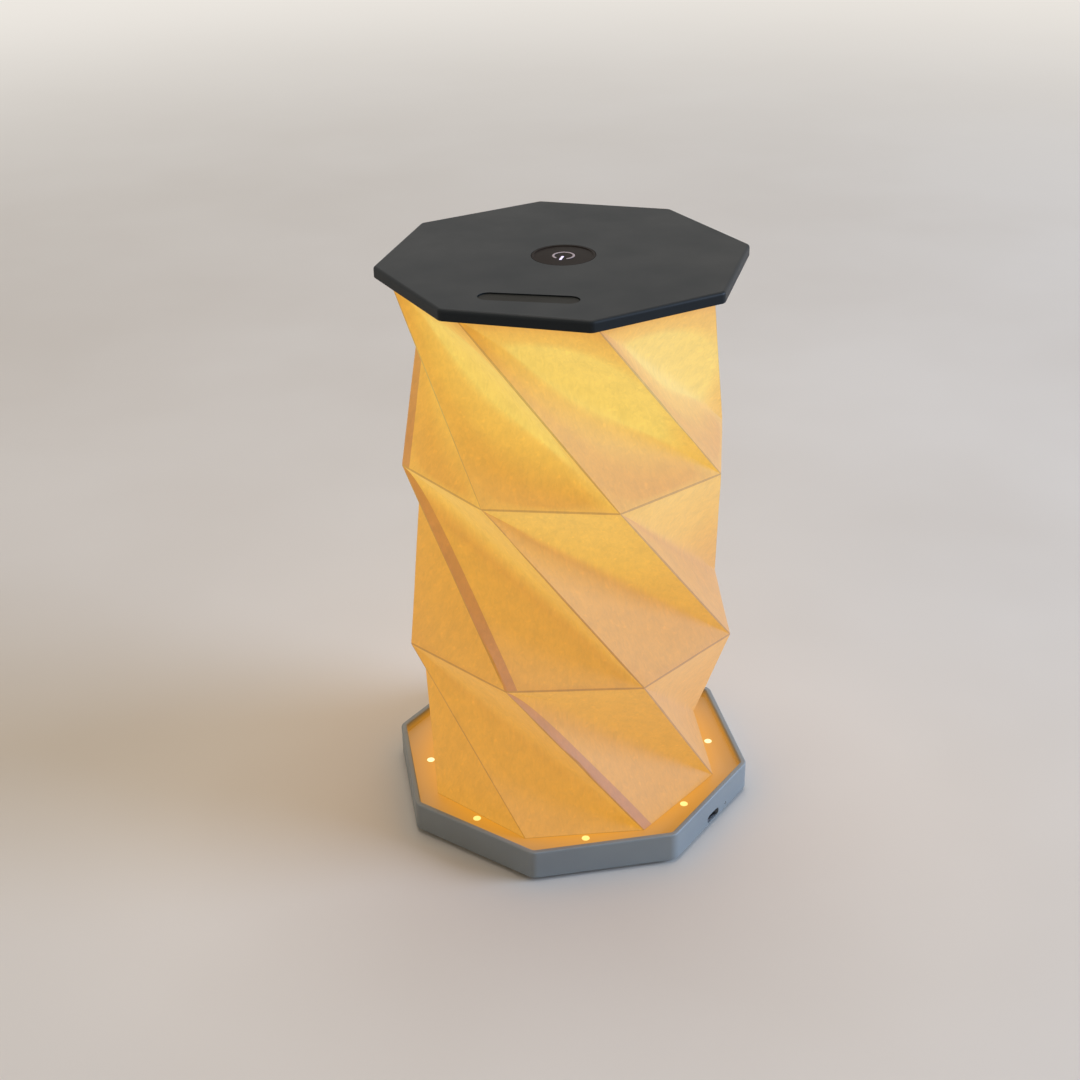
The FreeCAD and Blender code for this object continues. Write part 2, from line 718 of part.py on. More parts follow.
def pocket_slab(body, name, length, width, depth, top, **where):
    """Cut a block shape down from its top, centred on its place."""
    feature = slab(body, name + "_gauge", length, width, depth, top, **where)
    sketch = feature.Profile[0]
    body.removeObject(feature)
    doc.removeObject(feature.Name)
    return pocket(body, name, sketch, depth)


# ------------------------------------------------------------- leads

def bent_path(points):
    """Straight runs joined by tangent arcs, each as large as its two runs allow."""
    share = 0.45               # of the shorter run that an arc may take at each end
    edges = []
    radii = []
    here = points[0]
    for before, corner, after in zip(points, points[1:], points[2:]):
        back = (before - corner).normalize()
        on = (after - corner).normalize()
        half_turn = (math.pi - back.getAngle(on)) / 2
        reach = share * min((before - corner).Length, (after - corner).Length)
        radius = reach / math.tan(half_turn)
        start = corner + back * reach
        end = corner + on * reach
        middle_way = (back + on).normalize()
        middle = corner + middle_way * (radius / math.cos(half_turn) - radius)
        edges.append(Part.LineSegment(here, start).toShape())
        edges.append(Part.Arc(start, middle, end).toShape())
        radii.append(round(radius, 1))
        here = end
    edges.append(Part.LineSegment(here, points[-1]).toShape())
    return Part.Wire(edges), radii


def make_tube(name, points):
    path, radii = bent_path(points)
    radius = size("lead_radius")
    start = Part.Circle(points[0], points[1] - points[0], radius).toShape()
    tube = path.makePipeShell([Part.Wire([start])], True, False)
    wanted = math.pi * radius ** 2 * path.Length
    print(name, "length", round(path.Length, 1), "radii", radii,
          "volume over section times length", round(tube.Volume / wanted, 4))
    add_shape(name, tube)


def add_shape(name, shape):
    thing = doc.addObject("Part::Feature", name)
    thing.Shape = shape
    thing.Placement = Placement(Vector(0, 0, 0), Rotation())
    parts[name] = thing


def port_point(outward, along, z):
    return OUTWARD * outward + ALONG * along + UP * z


def onto_board(name):
    """Last two points of a lead, just before and on the rear edge of the charging board."""
    rear = level("charger_rear")
    height = level("charger_top") + size("lead_radius")
    return [port_point(rear - size("rear_run"), -size(name + "_turn_in"), height),
            port_point(rear + size("rear_lap"), -size(name + "_end"), height)]


COIL_STEPS = 8                 # straight runs in one turn of the coiled lead


def make_leads():
    low, high = size("lead_low_circle"), size("lead_high_circle")
    turns, stub = size("lead_turns"), size("lead_stub")
    bottom, top = level("lead_foot"), level("board_under")
    count = round(turns * COIL_STEPS)
    coil = []
    for i in range(count + 1):
        share = i / count
        height = bottom + stub + (top - bottom - 2 * stub) * share
        coil.append(polar(low + (high - low) * share, 360 * turns * share, height))
    make_tube("inner_lead", [polar(low, 0, bottom)] + coil + [polar(high, 360 * turns, top)])

    out = Vector(low, -size("connector_side") / 2, bottom - size("connector_height") / 2)
    after = out - Vector(0, size("plug_run"), 0)
    bend = after + Vector(size("plug_sweep"), -size("plug_reach"), -size("plug_dip"))
    make_tube("base_lead", [out, after, bend] + onto_board("base_lead"))
    out = Vector(size("battery_middle") + size("battery_length") / 2, size("tab_place"),
                 level("battery_under") + size("battery_height") / 2)
    after = out + Vector(size("tab_run"), 0, 0)
    bend = after + Vector(size("tab_sweep"), -size("tab_reach"), -size("tab_dip"))
    make_tube("battery_lead", [out, after, bend] + onto_board("battery_lead"))

    plug = new_body("lead_plug")
    slab(plug, "plug_block", "sizes.connector_side", "sizes.connector_side",
         "sizes.connector_height", "levels.lead_foot - sizes.connector_height",
         x="sizes.lead_low_circle")

    grommet = new_body("lead_grommet")
    lip = "sizes.grommet_radius + sizes.grommet_lip"
    points = (
        ("levels.lead_hole", "levels.lead_foot"),
        (lip, "levels.lead_foot"),
        (lip, "levels.floor_under"),
        ("sizes.grommet_radius", "levels.floor_under"),
        ("sizes.grommet_radius", "levels.floor_top"),
        (lip, "levels.floor_top"),
        (lip, "levels.floor_top + sizes.grommet_lip_height"),
        ("levels.lead_hole", "levels.floor_top + sizes.grommet_lip_height"),
    )
    turned(grommet, "grommet_shape", points)
    place(grommet, x="sizes.lead_low_circle")


# ------------------------------------------------------------- paper shade

def shade_ring(radius, height, angle):
    return [polar(radius, angle + STEP * k, height) for k in range(SIDES)]


def flat_face(points):
    return Part.Face(Part.makePolygon(points + points[:1]))


def flat_ring(outer, inner):
    """A flat octagonal ring; both lists run the same way round."""
    hole = Part.makePolygon(inner + inner[:1])
    hole.reverse()
    return Part.Face([Part.makePolygon(outer + outer[:1]), hole])


def folded_sides(rings):
    """Facets between rings of corners, from the top ring down. In each tier a mountain
    crease joins corners of the same number, and a valley crease crosses the facet pair."""
    faces = []
    for upper, lower in zip(rings, rings[1:]):
        for k in range(SIDES):
            after = (k + 1) % SIDES
            faces.append(flat_face([upper[k], lower[k], lower[after]]))
            faces.append(flat_face([upper[k], lower[after], upper[after]]))
    return faces


FACET_LEAN = 1.3               # radial depth of a leaning facet over its thickness


def make_shade():
    paper = size("paper_thickness")
    radii = [size(n + "_ring_radius") for n in ("top", "upper", "lower", "floor")]
    heights = [level(n) for n in ("plate_under", "upper_ring", "lower_ring", "floor_top")]
    angles = [level(n + "_angle") for n in ("top", "upper", "lower", "floor")]
    # the facets lean, so the inner skin stands further in than the paper is thick
    lean = FACET_LEAN * paper / math.cos(math.radians(STEP / 2))
    skin_heights = [heights[0] - paper, heights[1], heights[2], heights[3] + paper]
    outer = [shade_ring(r, z, a) for r, z, a in zip(radii, heights, angles)]
    inner = [shade_ring(r - lean, z, a) for r, z, a in zip(radii, skin_heights, angles)]
    faces = folded_sides(outer) + folded_sides(inner)
    for end in (0, 3):
        flap = radii[end] - size("flap_width")
        outside = shade_ring(flap, heights[end], angles[end])
        inside = shade_ring(flap, skin_heights[end], angles[end])
        faces.append(flat_ring(outer[end], outside))
        faces.append(flat_ring(inner[end], inside))
        for k in range(SIDES):
            after = (k + 1) % SIDES
            faces.append(flat_face([outside[k], outside[after], inside[after], inside[k]]))
    shell = Part.makeShell(faces)
    shell.sewShape()
    solid = Part.makeSolid(shell)
    if solid.Volume < 0:
        solid.reverse()
    hole = level("screw_hole")
    for circle, angle, under in (("low_screw_circle", "low_middle", heights[3]),
                                 ("high_screw_circle", "high_middle", heights[0] - paper)):
        for k in range(SIDES):
            spot = polar(level(circle), level(angle) + STEP * k, under)
            solid = solid.cut(Part.makeCylinder(hole, paper, spot, UP))
    add_shape("paper_shade", solid.Solids[0])


def clamp_ring(name, radius, z, angle, heads_below):
    """Octagonal ring that presses an end flap of the paper against its plate."""
    ring = new_body(name)
    octagon(ring, "Additive", name + "_plate", "2 * (%s) * cos(22.5)" % radius,
            "sizes.clamp_thickness", z, turn=angle)
    octagon(ring, "Subtractive", name + "_window",
            "2 * (%s - sizes.clamp_width) * cos(22.5)" % radius, "sizes.clamp_thickness", z,
            turn=angle)
    circle = "(%s - sizes.clamp_width / 2) * cos(22.5)" % radius
    sink = z if heads_below else z + " + sizes.clamp_thickness - sizes.screw_head_height"
    screw_holes(ring, name + "_way", SIDES, circle, angle + " + 22.5", z,
                "sizes.clamp_thickness", sink, heads_below)


# ------------------------------------------------------------- top plate

UNDER_SCREWS = 4
DIODES = 12


def make_top_cover():
    cover = new_body("top_cover")
    octagon(cover, "Additive", "plate_block", "sizes.plate_across", "sizes.plate_height",
            "levels.plate_under", turn="levels.plate_angle")
    soften(cover, "Fillet", "plate_corners", upright, "sizes.plate_corner_round")
    soften(cover, "Fillet", "plate_top_edge", level_edge(level("plate_top")),
           "sizes.plate_edge_round")
    soften(cover, "Fillet", "plate_low_edge", level_edge(level("plate_under")),
           "sizes.plate_foot_round")
    octagon(cover, "Subtractive", "plate_hollow", "levels.plate_inner",
            "levels.skin_under - levels.plate_under", "levels.plate_under",
            turn="levels.plate_angle")
    ring_of(cover, "Additive", "under_boss", UNDER_SCREWS, "sizes.under_boss_radius",
            "levels.skin_under - levels.under_top", "sizes.under_boss_circle",
            "levels.plate_angle", "levels.under_top")
    screw_holes(cover, "under_hole", UNDER_SCREWS, "sizes.under_boss_circle",
                "levels.plate_angle", "levels.under_top",
                "sizes.plate_screw_length - sizes.under_thickness + sizes.screw_end_gap")
    cylinder(cover, "Subtractive", "button_way", "sizes.button_radius + sizes.button_clearance",
             "sizes.plate_skin", z="levels.skin_under")
    recess = pill(cover, "recess_outline", "sizes.dimmer_length", "sizes.dimmer_width")
    lay_dimmer(recess, "levels.plate_top")
    pocket(cover, "dimmer_recess_cut", recess, "sizes.dimmer_recess")

    strip = new_body("dimmer_strip")
    sketch = pill(strip, "strip_outline", "sizes.dimmer_length - 2 * sizes.dimmer_clearance",
                  "sizes.dimmer_width - 2 * sizes.dimmer_clearance")
    lay_dimmer(sketch, "levels.plate_top - sizes.dimmer_recess")
    pad(strip, "strip_pad", sketch, "sizes.dimmer_thickness")


def lay_dimmer(sketch, z):
    """Lay a slot outline beside the front left side of the plate."""
    shift(sketch, Rotation(UP, 1), z=z, **at_circle("sizes.dimmer_offset", "levels.dimmer_angle"))
    sketch.setExpression("AttachmentOffset.Rotation.Angle",
                         "levels.dimmer_angle + 90 + sizes.dimmer_tilt")


def make_under_plate():
    plate = new_body("under_plate")
    octagon(plate, "Additive", "under_block", "levels.plate_inner - 2 * sizes.under_clearance",
            "sizes.under_thickness", "levels.plate_under", turn="levels.plate_angle")
    ring_of(plate, "Additive", "top_magnet_boss", SIDES, "levels.magnet_hole + sizes.magnet_wall",
            "sizes.magnet_height + sizes.magnet_wall - sizes.under_thickness",
            "sizes.magnet_circle", "levels.high_magnets", "levels.under_top")
    ring_of(plate, "Additive", "top_clamp_boss", SIDES, "sizes.clamp_boss_radius",
            "levels.high_boss_top - levels.under_top", "levels.high_screw_circle",
            "levels.high_middle", "levels.under_top")
    ring_of(plate, "Subtractive", "top_magnet_pocket", SIDES, "levels.magnet_hole",
            "sizes.magnet_height", "sizes.magnet_circle", "levels.high_magnets",
            "levels.plate_under")
    screw_holes(plate, "top_clamp_hole", SIDES, "levels.high_screw_circle",
                "levels.high_middle", "levels.plate_under",
                "levels.high_boss_top - sizes.magnet_wall - levels.plate_under")
    screw_holes(plate, "under_way", UNDER_SCREWS, "sizes.under_boss_circle",
                "levels.plate_angle", "levels.plate_under", "sizes.under_thickness",
                "levels.plate_under")
    cylinder(plate, "Subtractive", "spigot_way", "sizes.spigot_radius + sizes.spigot_clearance",
             "sizes.under_thickness", z="levels.plate_under")
    screws("under_plate_screws", UNDER_SCREWS, "sizes.under_boss_circle", "levels.plate_angle",
           "levels.plate_under", "sizes.plate_screw_length")


def make_light():
    cup = new_body("opal_diffuser")
    bore = "sizes.board_radius + sizes.board_clearance"
    spigot_top = "levels.plate_under + sizes.spigot_height"
    points = (
        ("0", "levels.cup_under"),
        ("sizes.cup_radius", "levels.cup_under"),
        ("sizes.cup_radius", "levels.plate_under"),
        ("sizes.spigot_radius", "levels.plate_under"),
        ("sizes.spigot_radius", spigot_top),
        (bore, spigot_top),
        (bore, "levels.board_under"),
        ("sizes.ledge_radius", "levels.board_under"),
        ("sizes.ledge_radius", "levels.cup_under + sizes.cup_floor"),
        ("0", "levels.cup_under + sizes.cup_floor"),
    )
    turned(cup, "cup_shape", points)
    soften(cup, "Fillet", "cup_edge", level_edge(level("cup_under")), "sizes.cup_round")
    end = at_circle("sizes.lead_high_circle", "360 * sizes.lead_turns")
    cylinder(cup, "Subtractive", "cup_lead_way", "levels.lead_hole", "sizes.cup_floor",
             z="levels.cup_under", **end)

    board = new_body("led_board")
    cylinder(board, "Additive", "board_disc", "sizes.board_radius", "sizes.board_thickness",
             z="levels.board_under")

    chips = new_body("led_chips")
    chips.AllowCompound = True
    chip = slab(chips, "chip", "sizes.diode_length", "sizes.diode_width", "sizes.diode_height",
                "levels.board_under - sizes.diode_height", x="sizes.diode_circle")
    around(chips, "chip_ring", chip, DIODES)

    pilot = new_body("button_led")
    slab(pilot, "pilot_block", "sizes.pilot_length", "sizes.pilot_width", "sizes.pilot_height",
         "levels.board_top", x="sizes.pilot_offset")


def make_button():
    switch = new_body("tact_switch")
    slab(switch, "switch_block", "sizes.switch_side", "sizes.switch_side",
         "sizes.switch_height", "levels.board_top")
    cylinder(switch, "Subtractive", "switch_bore",
             "sizes.plunger_radius + sizes.plunger_clearance",
             "sizes.switch_height - sizes.switch_floor", z="levels.board_top + sizes.switch_floor")

    plunger = new_body("switch_plunger")
    cylinder(plunger, "Additive", "plunger_pin", "sizes.plunger_radius",
             "levels.flange_under - levels.plunger_under", z="levels.plunger_under")

    button = new_body("power_button")
    flange = "sizes.button_radius + sizes.flange_width"
    lip = "sizes.button_radius - sizes.button_lip"
    points = (
        ("0", "levels.flange_under"),
        (flange, "levels.flange_under"),
        (flange, "levels.flange_top"),
        ("sizes.button_radius", "levels.flange_top"),
        ("sizes.button_radius", "levels.plate_top"),
        (lip, "levels.plate_top"),
        (lip + " - sizes.button_dish", "levels.plate_top - sizes.button_dish"),
        ("0", "levels.plate_top - sizes.button_dish"),
    )
    turned(button, "button_shape", points)


def make_ribbon():
    """Flat ribbon from under the dimmer strip to the light's board."""
    ribbon = new_body("touch_ribbon")
    outer = "sizes.dimmer_offset + sizes.dimmer_width / 2"
    flat = slab(ribbon, "ribbon_run", "%s - sizes.ribbon_inner" % outer, "sizes.ribbon_width",
                "sizes.ribbon_thickness", "levels.skin_under - sizes.ribbon_thickness",
                **at_circle("(%s + sizes.ribbon_inner) / 2" % outer, "levels.dimmer_angle"))
    drop = slab(ribbon, "ribbon_drop", "sizes.ribbon_thickness", "sizes.ribbon_width",
                "levels.skin_under - levels.board_top", "levels.board_top",
                **at_circle("sizes.ribbon_inner + sizes.ribbon_thickness / 2",
                            "levels.dimmer_angle"))
    for feature in (flat, drop):
        sketch = feature.Profile[0]
        turn_sketch(feature, Rotation(UP, 1))
        sketch.setExpression("AttachmentOffset.Rotation.Angle", "levels.dimmer_angle")


# ------------------------------------------------------------- the whole lamp

def make_magnets_and_clamps():
    discs("base_magnets", SIDES, "sizes.magnet_radius", "sizes.magnet_height",
          "sizes.magnet_circle", "levels.low_middle", "levels.floor_top - sizes.magnet_height")
    discs("top_magnets", SIDES, "sizes.magnet_radius", "sizes.magnet_height",
          "sizes.magnet_circle", "levels.high_magnets", "levels.plate_under")
    clamp_ring("lower_shade_ring", "levels.low_clamp_radius", "levels.low_clamp_under",
               "levels.floor_angle", False)
    clamp_ring("upper_shade_ring", "levels.high_clamp_radius", "levels.high_clamp_under",
               "levels.top_angle", True)
    screws("lower_ring_screws", SIDES, "levels.low_screw_circle", "levels.low_middle",
           "levels.low_clamp_under + sizes.clamp_thickness", "sizes.clamp_screw_length", False)
    screws("upper_ring_screws", SIDES, "levels.high_screw_circle", "levels.high_middle",
           "levels.high_clamp_under", "sizes.clamp_screw_length")


make_base_tray()
make_bottom_cover()
make_feet()
make_battery()
make_charging()
make_leads()
make_shade()
make_magnets_and_clamps()
make_top_cover()
make_under_plate()
make_light()
make_button()
make_ribbon()
doc.recompute()

faults = [o.Name for o in doc.Objects if "Invalid" in o.State or "Error" in o.State]
for name, part in parts.items():
    shape = part.Shape
    if shape.isNull() or not shape.isValid():
        faults.append(name)
if faults:
    raise RuntimeError("not built: " + ", ".join(faults))

os.makedirs("parts", exist_ok=True)
for name, part in parts.items():
    part.Shape.exportStep(os.path.join("parts", name + ".step"))
    solids = len(part.Shape.Solids)
    print("%-20s %2d solids %10.1f mm3" % (name, solids, part.Shape.Volume))
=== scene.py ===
import bmesh
import bpy
import math
from mathutils import Matrix, Vector


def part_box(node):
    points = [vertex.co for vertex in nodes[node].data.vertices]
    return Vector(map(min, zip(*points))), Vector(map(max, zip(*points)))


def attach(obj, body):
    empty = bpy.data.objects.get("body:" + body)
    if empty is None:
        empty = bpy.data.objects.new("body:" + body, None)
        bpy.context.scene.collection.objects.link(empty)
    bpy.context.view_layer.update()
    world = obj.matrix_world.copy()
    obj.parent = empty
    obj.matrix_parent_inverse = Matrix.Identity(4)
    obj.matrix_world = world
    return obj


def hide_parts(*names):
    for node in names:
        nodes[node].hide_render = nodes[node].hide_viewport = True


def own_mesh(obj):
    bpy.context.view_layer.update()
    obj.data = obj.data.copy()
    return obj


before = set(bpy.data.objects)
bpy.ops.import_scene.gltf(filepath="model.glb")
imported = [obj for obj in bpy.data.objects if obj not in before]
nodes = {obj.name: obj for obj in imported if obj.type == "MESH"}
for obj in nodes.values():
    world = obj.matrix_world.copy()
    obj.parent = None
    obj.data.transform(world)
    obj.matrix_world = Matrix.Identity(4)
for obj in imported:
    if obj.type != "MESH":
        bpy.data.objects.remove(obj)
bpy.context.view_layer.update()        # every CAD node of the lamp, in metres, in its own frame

mm = 0.001


def linear(hexText):
    channels = [int(hexText[i:i + 2], 16) / 255 for i in (1, 3, 5)]
    return tuple(c / 12.92 if c <= 0.04045 else ((c + 0.055) / 1.055) ** 2.4
                 for c in channels) + (1.0,)


def addNode(tree, kind, links=None, values=None, stops=None, **settings):
    node = tree.nodes.new(kind)
    for name, value in settings.items():
        setattr(node, name, value)
    for name, value in (values or {}).items():
        node.inputs[name].default_value = value
    for name, socket in (links or {}).items():
        tree.links.new(socket, node.inputs[name])
    if stops:
        marks = node.color_ramp.elements
        while len(marks) < len(stops):
            marks.new(0.5)
        for mark, (position, hexText) in zip(marks, stops):
            mark.position = position
            mark.color = linear(hexText)
    return node


def newMaterial(name):
    material = bpy.data.materials.new(name)
    material.use_nodes = True
    tree = material.node_tree
    tree.nodes.clear()
    place = addNode(tree, "ShaderNodeTexCoord").outputs["Object"]
    return material, tree, place


def cloudyTone(tree, place, size, detail, stops):      # size of the clouds in mm
    clouds = addNode(tree, "ShaderNodeTexNoise", {"Vector": place},
                     {"Scale": 1 / (size * mm), "Detail": detail})
    tone = addNode(tree, "ShaderNodeValToRGB", {"Fac": clouds.outputs["Fac"]}, stops=stops)
    return clouds.outputs["Fac"], tone.outputs["Color"]


def anyRay(tree, *kinds):              # 1 for a ray of any of these kinds, else 0
    path = addNode(tree, "ShaderNodeLightPath")
    seen = path.outputs[kinds[0]]
    for kind in kinds[1:]:
        seen = addNode(tree, "ShaderNodeMath", {0: seen, 1: path.outputs[kind]},
                       operation="MAXIMUM").outputs[0]
    return seen


def deselectAll():
    if bpy.context.object and bpy.context.object.mode != "OBJECT":
        bpy.ops.object.mode_set(mode="OBJECT")
    bpy.ops.object.select_all(action="DESELECT")


def selectOnly(piece):
    deselectAll()
    bpy.context.view_layer.objects.active = piece
    piece.select_set(True)


def startEdit(piece, mode="FACE"):
    selectOnly(piece)
    bpy.ops.object.mode_set(mode="EDIT")
    bpy.ops.mesh.select_mode(type=mode)


def pick(piece, kind, test):         # kind is verts, edges or faces
    mesh = bmesh.from_edit_mesh(piece.data)
    mesh.normal_update()
    bpy.ops.mesh.select_all(action="DESELECT")
    for item in getattr(mesh, kind):
        if test(item):
            item.select_set(True)
    mesh.select_flush_mode()
    bmesh.update_edit_mesh(piece.data)


def paint(piece, index):             # the picked faces take this material slot
    mesh = bmesh.from_edit_mesh(piece.data)
    for face in mesh.faces:
        if face.select:
            face.material_index = index
    bmesh.update_edit_mesh(piece.data)


def settle(piece):
    selectOnly(piece)
    bpy.ops.object.transform_apply(location=True, rotation=True, scale=True)


def applyModifiers(piece):
    selectOnly(piece)
    for modifier in list(piece.modifiers):
        bpy.ops.object.modifier_apply(modifier=modifier.name)


def smooth(piece, degrees):
    selectOnly(piece)
    bpy.ops.object.shade_smooth_by_angle(angle=math.radians(degrees))


def wear(piece, *materials):
    piece.data.materials.clear()
    for material in materials:
        piece.data.materials.append(material)


def around(radius, degrees, height):
    angle = math.radians(degrees)
    return Vector((radius * math.cos(angle), radius * math.sin(angle), height))


# the camera stands where the photograph was taken from, in mm from the lamp's foot
cameraSet = {
    "place": (-109.74, -583.92, 435.57),
    "ahead": (0.14622, 0.86882, -0.47304),
    "up": (0.10075, 0.46261, 0.88082),
    "lens": 54.42,
}


def makeCamera():
    data = bpy.data.cameras.new("photoCamera")
    data.sensor_width = 36
    data.lens = cameraSet["lens"]
    camera = bpy.data.objects.new("photoCamera", data)
    bpy.context.scene.collection.objects.link(camera)
    ahead = Vector(cameraSet["ahead"]).normalized()
    right = ahead.cross(Vector(cameraSet["up"])).normalized()
    turn = Matrix((right, right.cross(ahead), -ahead)).transposed().to_4x4()
    camera.matrix_world = Matrix.Translation(Vector(cameraSet["place"]) * mm) @ turn
    bpy.context.scene.camera = camera
    print("camera in place")


stageSet = {
    "floorColours": ("#E6E0D8", "#E0D9D0"),
    "floorClouds": 250.0,    # mm, patches of the roller's unevenness
    "floorRadius": 6.0,      # metres
    "backColour": "#EDE8E1",
    "fillColour": "#F7F1E8",
    "fillStrength": 0.22,
    "fadeFrom": 0.45,        # metres from the lamp where the floor starts to fade into the back
    "fadeTo": 2.2,
    "aim": (0, 0, 0.12),     # what the soft boxes face, in metres
    # place, size in metres, watts, colour
    "softBoxes": {
        "coolSide": ((2.5, -0.72, 1.0), 1.6, 77.0, "#BCD8FF"),
        "warmSide": ((-1.3, -0.6, 1.1), 1.2, 2.5, "#FFE7C8"),
        "overhead": ((0.1, 0.35, 1.9), 1.3, 15.0, "#FFF3E4"),
    },
}


def makeStage():
    deselectAll()
    bpy.ops.mesh.primitive_circle_add(vertices=64, radius=stageSet["floorRadius"],
                                      fill_type="NGON", location=(0, 0, 0))
    floor = bpy.context.object
    floor.name = "floor"
    # painted board: matt, with the faint roller unevenness of a wall paint
    board, tree, place = newMaterial("paintedBoard")
    pale, darker = stageSet["floorColours"]
    _, colour = cloudyTone(tree, place, stageSet["floorClouds"], 3.0,
                           ((0.35, pale), (0.65, darker)))
    shader = addNode(tree, "ShaderNodeBsdfPrincipled", {"Base Color": colour},
                     {"Roughness": 0.9, "Specular IOR Level": 0.1})
    # far from the lamp the floor takes the colour of the back, where a ray from the camera
    # or from something shiny meets it
    reach = addNode(tree, "ShaderNodeVectorMath", {0: place}, operation="LENGTH")
    fade = addNode(tree, "ShaderNodeMapRange", {"Value": reach.outputs["Value"]},
                   {"From Min": stageSet["fadeFrom"], "From Max": stageSet["fadeTo"]},
                   interpolation_type="SMOOTHSTEP")
    fade = addNode(tree, "ShaderNodeMath",
                   {0: fade.outputs[0], 1: anyRay(tree, "Is Camera Ray", "Is Glossy Ray")},
                   operation="MULTIPLY")
    back = addNode(tree, "ShaderNodeEmission",
                   values={"Color": linear(stageSet["backColour"]), "Strength": 1.0})
    both = addNode(tree, "ShaderNodeMixShader",
                   {0: fade.outputs[0], 1: shader.outputs[0], 2: back.outputs[0]})
    addNode(tree, "ShaderNodeOutputMaterial", {"Surface": both.outputs[0]})
    wear(floor, board)

    world = bpy.data.worlds.new("paleRoom")
    bpy.context.scene.world = world
    world.use_nodes = True
    tree = world.node_tree
    tree.nodes.clear()
    seen = anyRay(tree, "Is Camera Ray", "Is Glossy Ray", "Is Transmission Ray")
    fill = addNode(tree, "ShaderNodeBackground",
                   values={"Color": linear(stageSet["fillColour"]),
                           "Strength": stageSet["fillStrength"]})
    back = addNode(tree, "ShaderNodeBackground",
                   values={"Color": linear(stageSet["backColour"]), "Strength": 1.0})
    both = addNode(tree, "ShaderNodeMixShader",
                   {0: seen, 1: fill.outputs[0], 2: back.outputs[0]})
    addNode(tree, "ShaderNodeOutputWorld", {"Surface": both.outputs[0]})

    for name, (place, size, watts, colour) in stageSet["softBoxes"].items():
        light = bpy.data.lights.new(name, "AREA")
        light.shape = "DISK"
        light.size = size
        light.energy = watts
        light.color = linear(colour)[:3]
        lamp = bpy.data.objects.new(name, light)
        bpy.context.scene.collection.objects.link(lamp)
        lamp.location = place
        aim = Vector(stageSet["aim"]) - Vector(place)
        lamp.rotation_euler = aim.to_track_quat("-Z", "Y").to_euler()
    bpy.context.scene.view_settings.view_transform = "Standard"
    print("floor, backdrop and lights in place")


shadeSet = {
    # rings of corners from the plate down to the tray floor, in mm and degrees
    "ringRadii": (66.0, 66.7, 70.0, 64.0),
    "tierHeights": (73.1, 75.9, 74.8),
    "tierTurns": (52.6, 52.4, 48.6),
    "topAngle": -136.3,
    "sides": 8,
    "paper": 0.5,
    "flap": 9.0,
    "foldWidth": 0.32,       # half of a scored crease's width
    "seamWidth": 4.4,        # glued lap beside one mountain fold of each tier
    "seamCorner": 6,
    "softEdge": 7.0,         # how far in from the creases a facet starts to bow
    "bow": 0.9,
    "cockle": 0.35,          # unevenness of the sheet
    "cockleSize": 24.0,
    "fineness": 3,           # times that each facet is halved both ways
    "level": 0.9,            # upright share of the normal that makes a face part of a flap
    "slack": 0.1,            # how far off in mm still counts as at a height
}


def shadeRings():
    low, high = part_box("paper_shade")
    heights, angles = [high.z], [shadeSet["topAngle"]]
    stretch = (high.z - low.z) / sum(shadeSet["tierHeights"])
    for tall, turn in zip(shadeSet["tierHeights"], shadeSet["tierTurns"]):
        heights.append(heights[-1] - tall * stretch)
        angles.append(angles[-1] + turn)
    return heights, angles


def foldTiers(shade, heights, radii):
    startEdit(shade, "EDGE")
    bpy.ops.mesh.select_all(action="SELECT")
    for tier in range(3):
        centre = (0, 0, heights[tier + 1])
        drop = heights[tier + 1] - heights[tier]
        grow = radii[tier + 1] / radii[tier]
        bpy.ops.mesh.extrude_region_move(TRANSFORM_OT_translate={"value": (0, 0, drop)})
        bpy.ops.transform.resize(value=(grow, grow, 1), center_override=centre)
        # with no window the turn comes out the other way
        bpy.ops.transform.rotate(value=-math.radians(shadeSet["tierTurns"][tier]),
                                 orient_axis="Z", center_override=centre)
    bpy.ops.mesh.select_all(action="SELECT")
    bpy.ops.mesh.quads_convert_to_tris(quad_method="LONGEST_DIAGONAL", ngon_method="BEAUTY")
    bpy.ops.mesh.normals_make_consistent(inside=False)


def markSeam(shade, heights, angles, radii, tier):
    step = 360 / shadeSet["sides"]
    corner = shadeSet["seamCorner"]
    width = shadeSet["seamWidth"] * mm
    upper = around(radii[tier], angles[tier] + step * corner, heights[tier])
    lower = around(radii[tier + 1], angles[tier + 1] + step * corner, heights[tier + 1])
    beside = around(radii[tier + 1], angles[tier + 1] + step * (corner + 1), heights[tier + 1])
    fold = (lower - upper).normalized()
    normal = fold.cross(beside - upper).normalized()
    across = normal.cross(fold)
    if across.dot(beside - upper) < 0:
        across = -across
    middle = (upper + lower + beside) / 3
    pick(shade, "faces", lambda f: (f.calc_center_median() - middle).length < 2 * mm)
    bpy.ops.mesh.bisect(plane_co=lower + across * width, plane_no=across)
    pick(shade, "faces", lambda f: f.normal.cross(normal).length < 0.02 and
         abs((f.calc_center_median() - upper).dot(normal)) < 0.5 * mm and
         0 < (f.calc_center_median() - upper).dot(across) < width)
    paint(shade, 2)


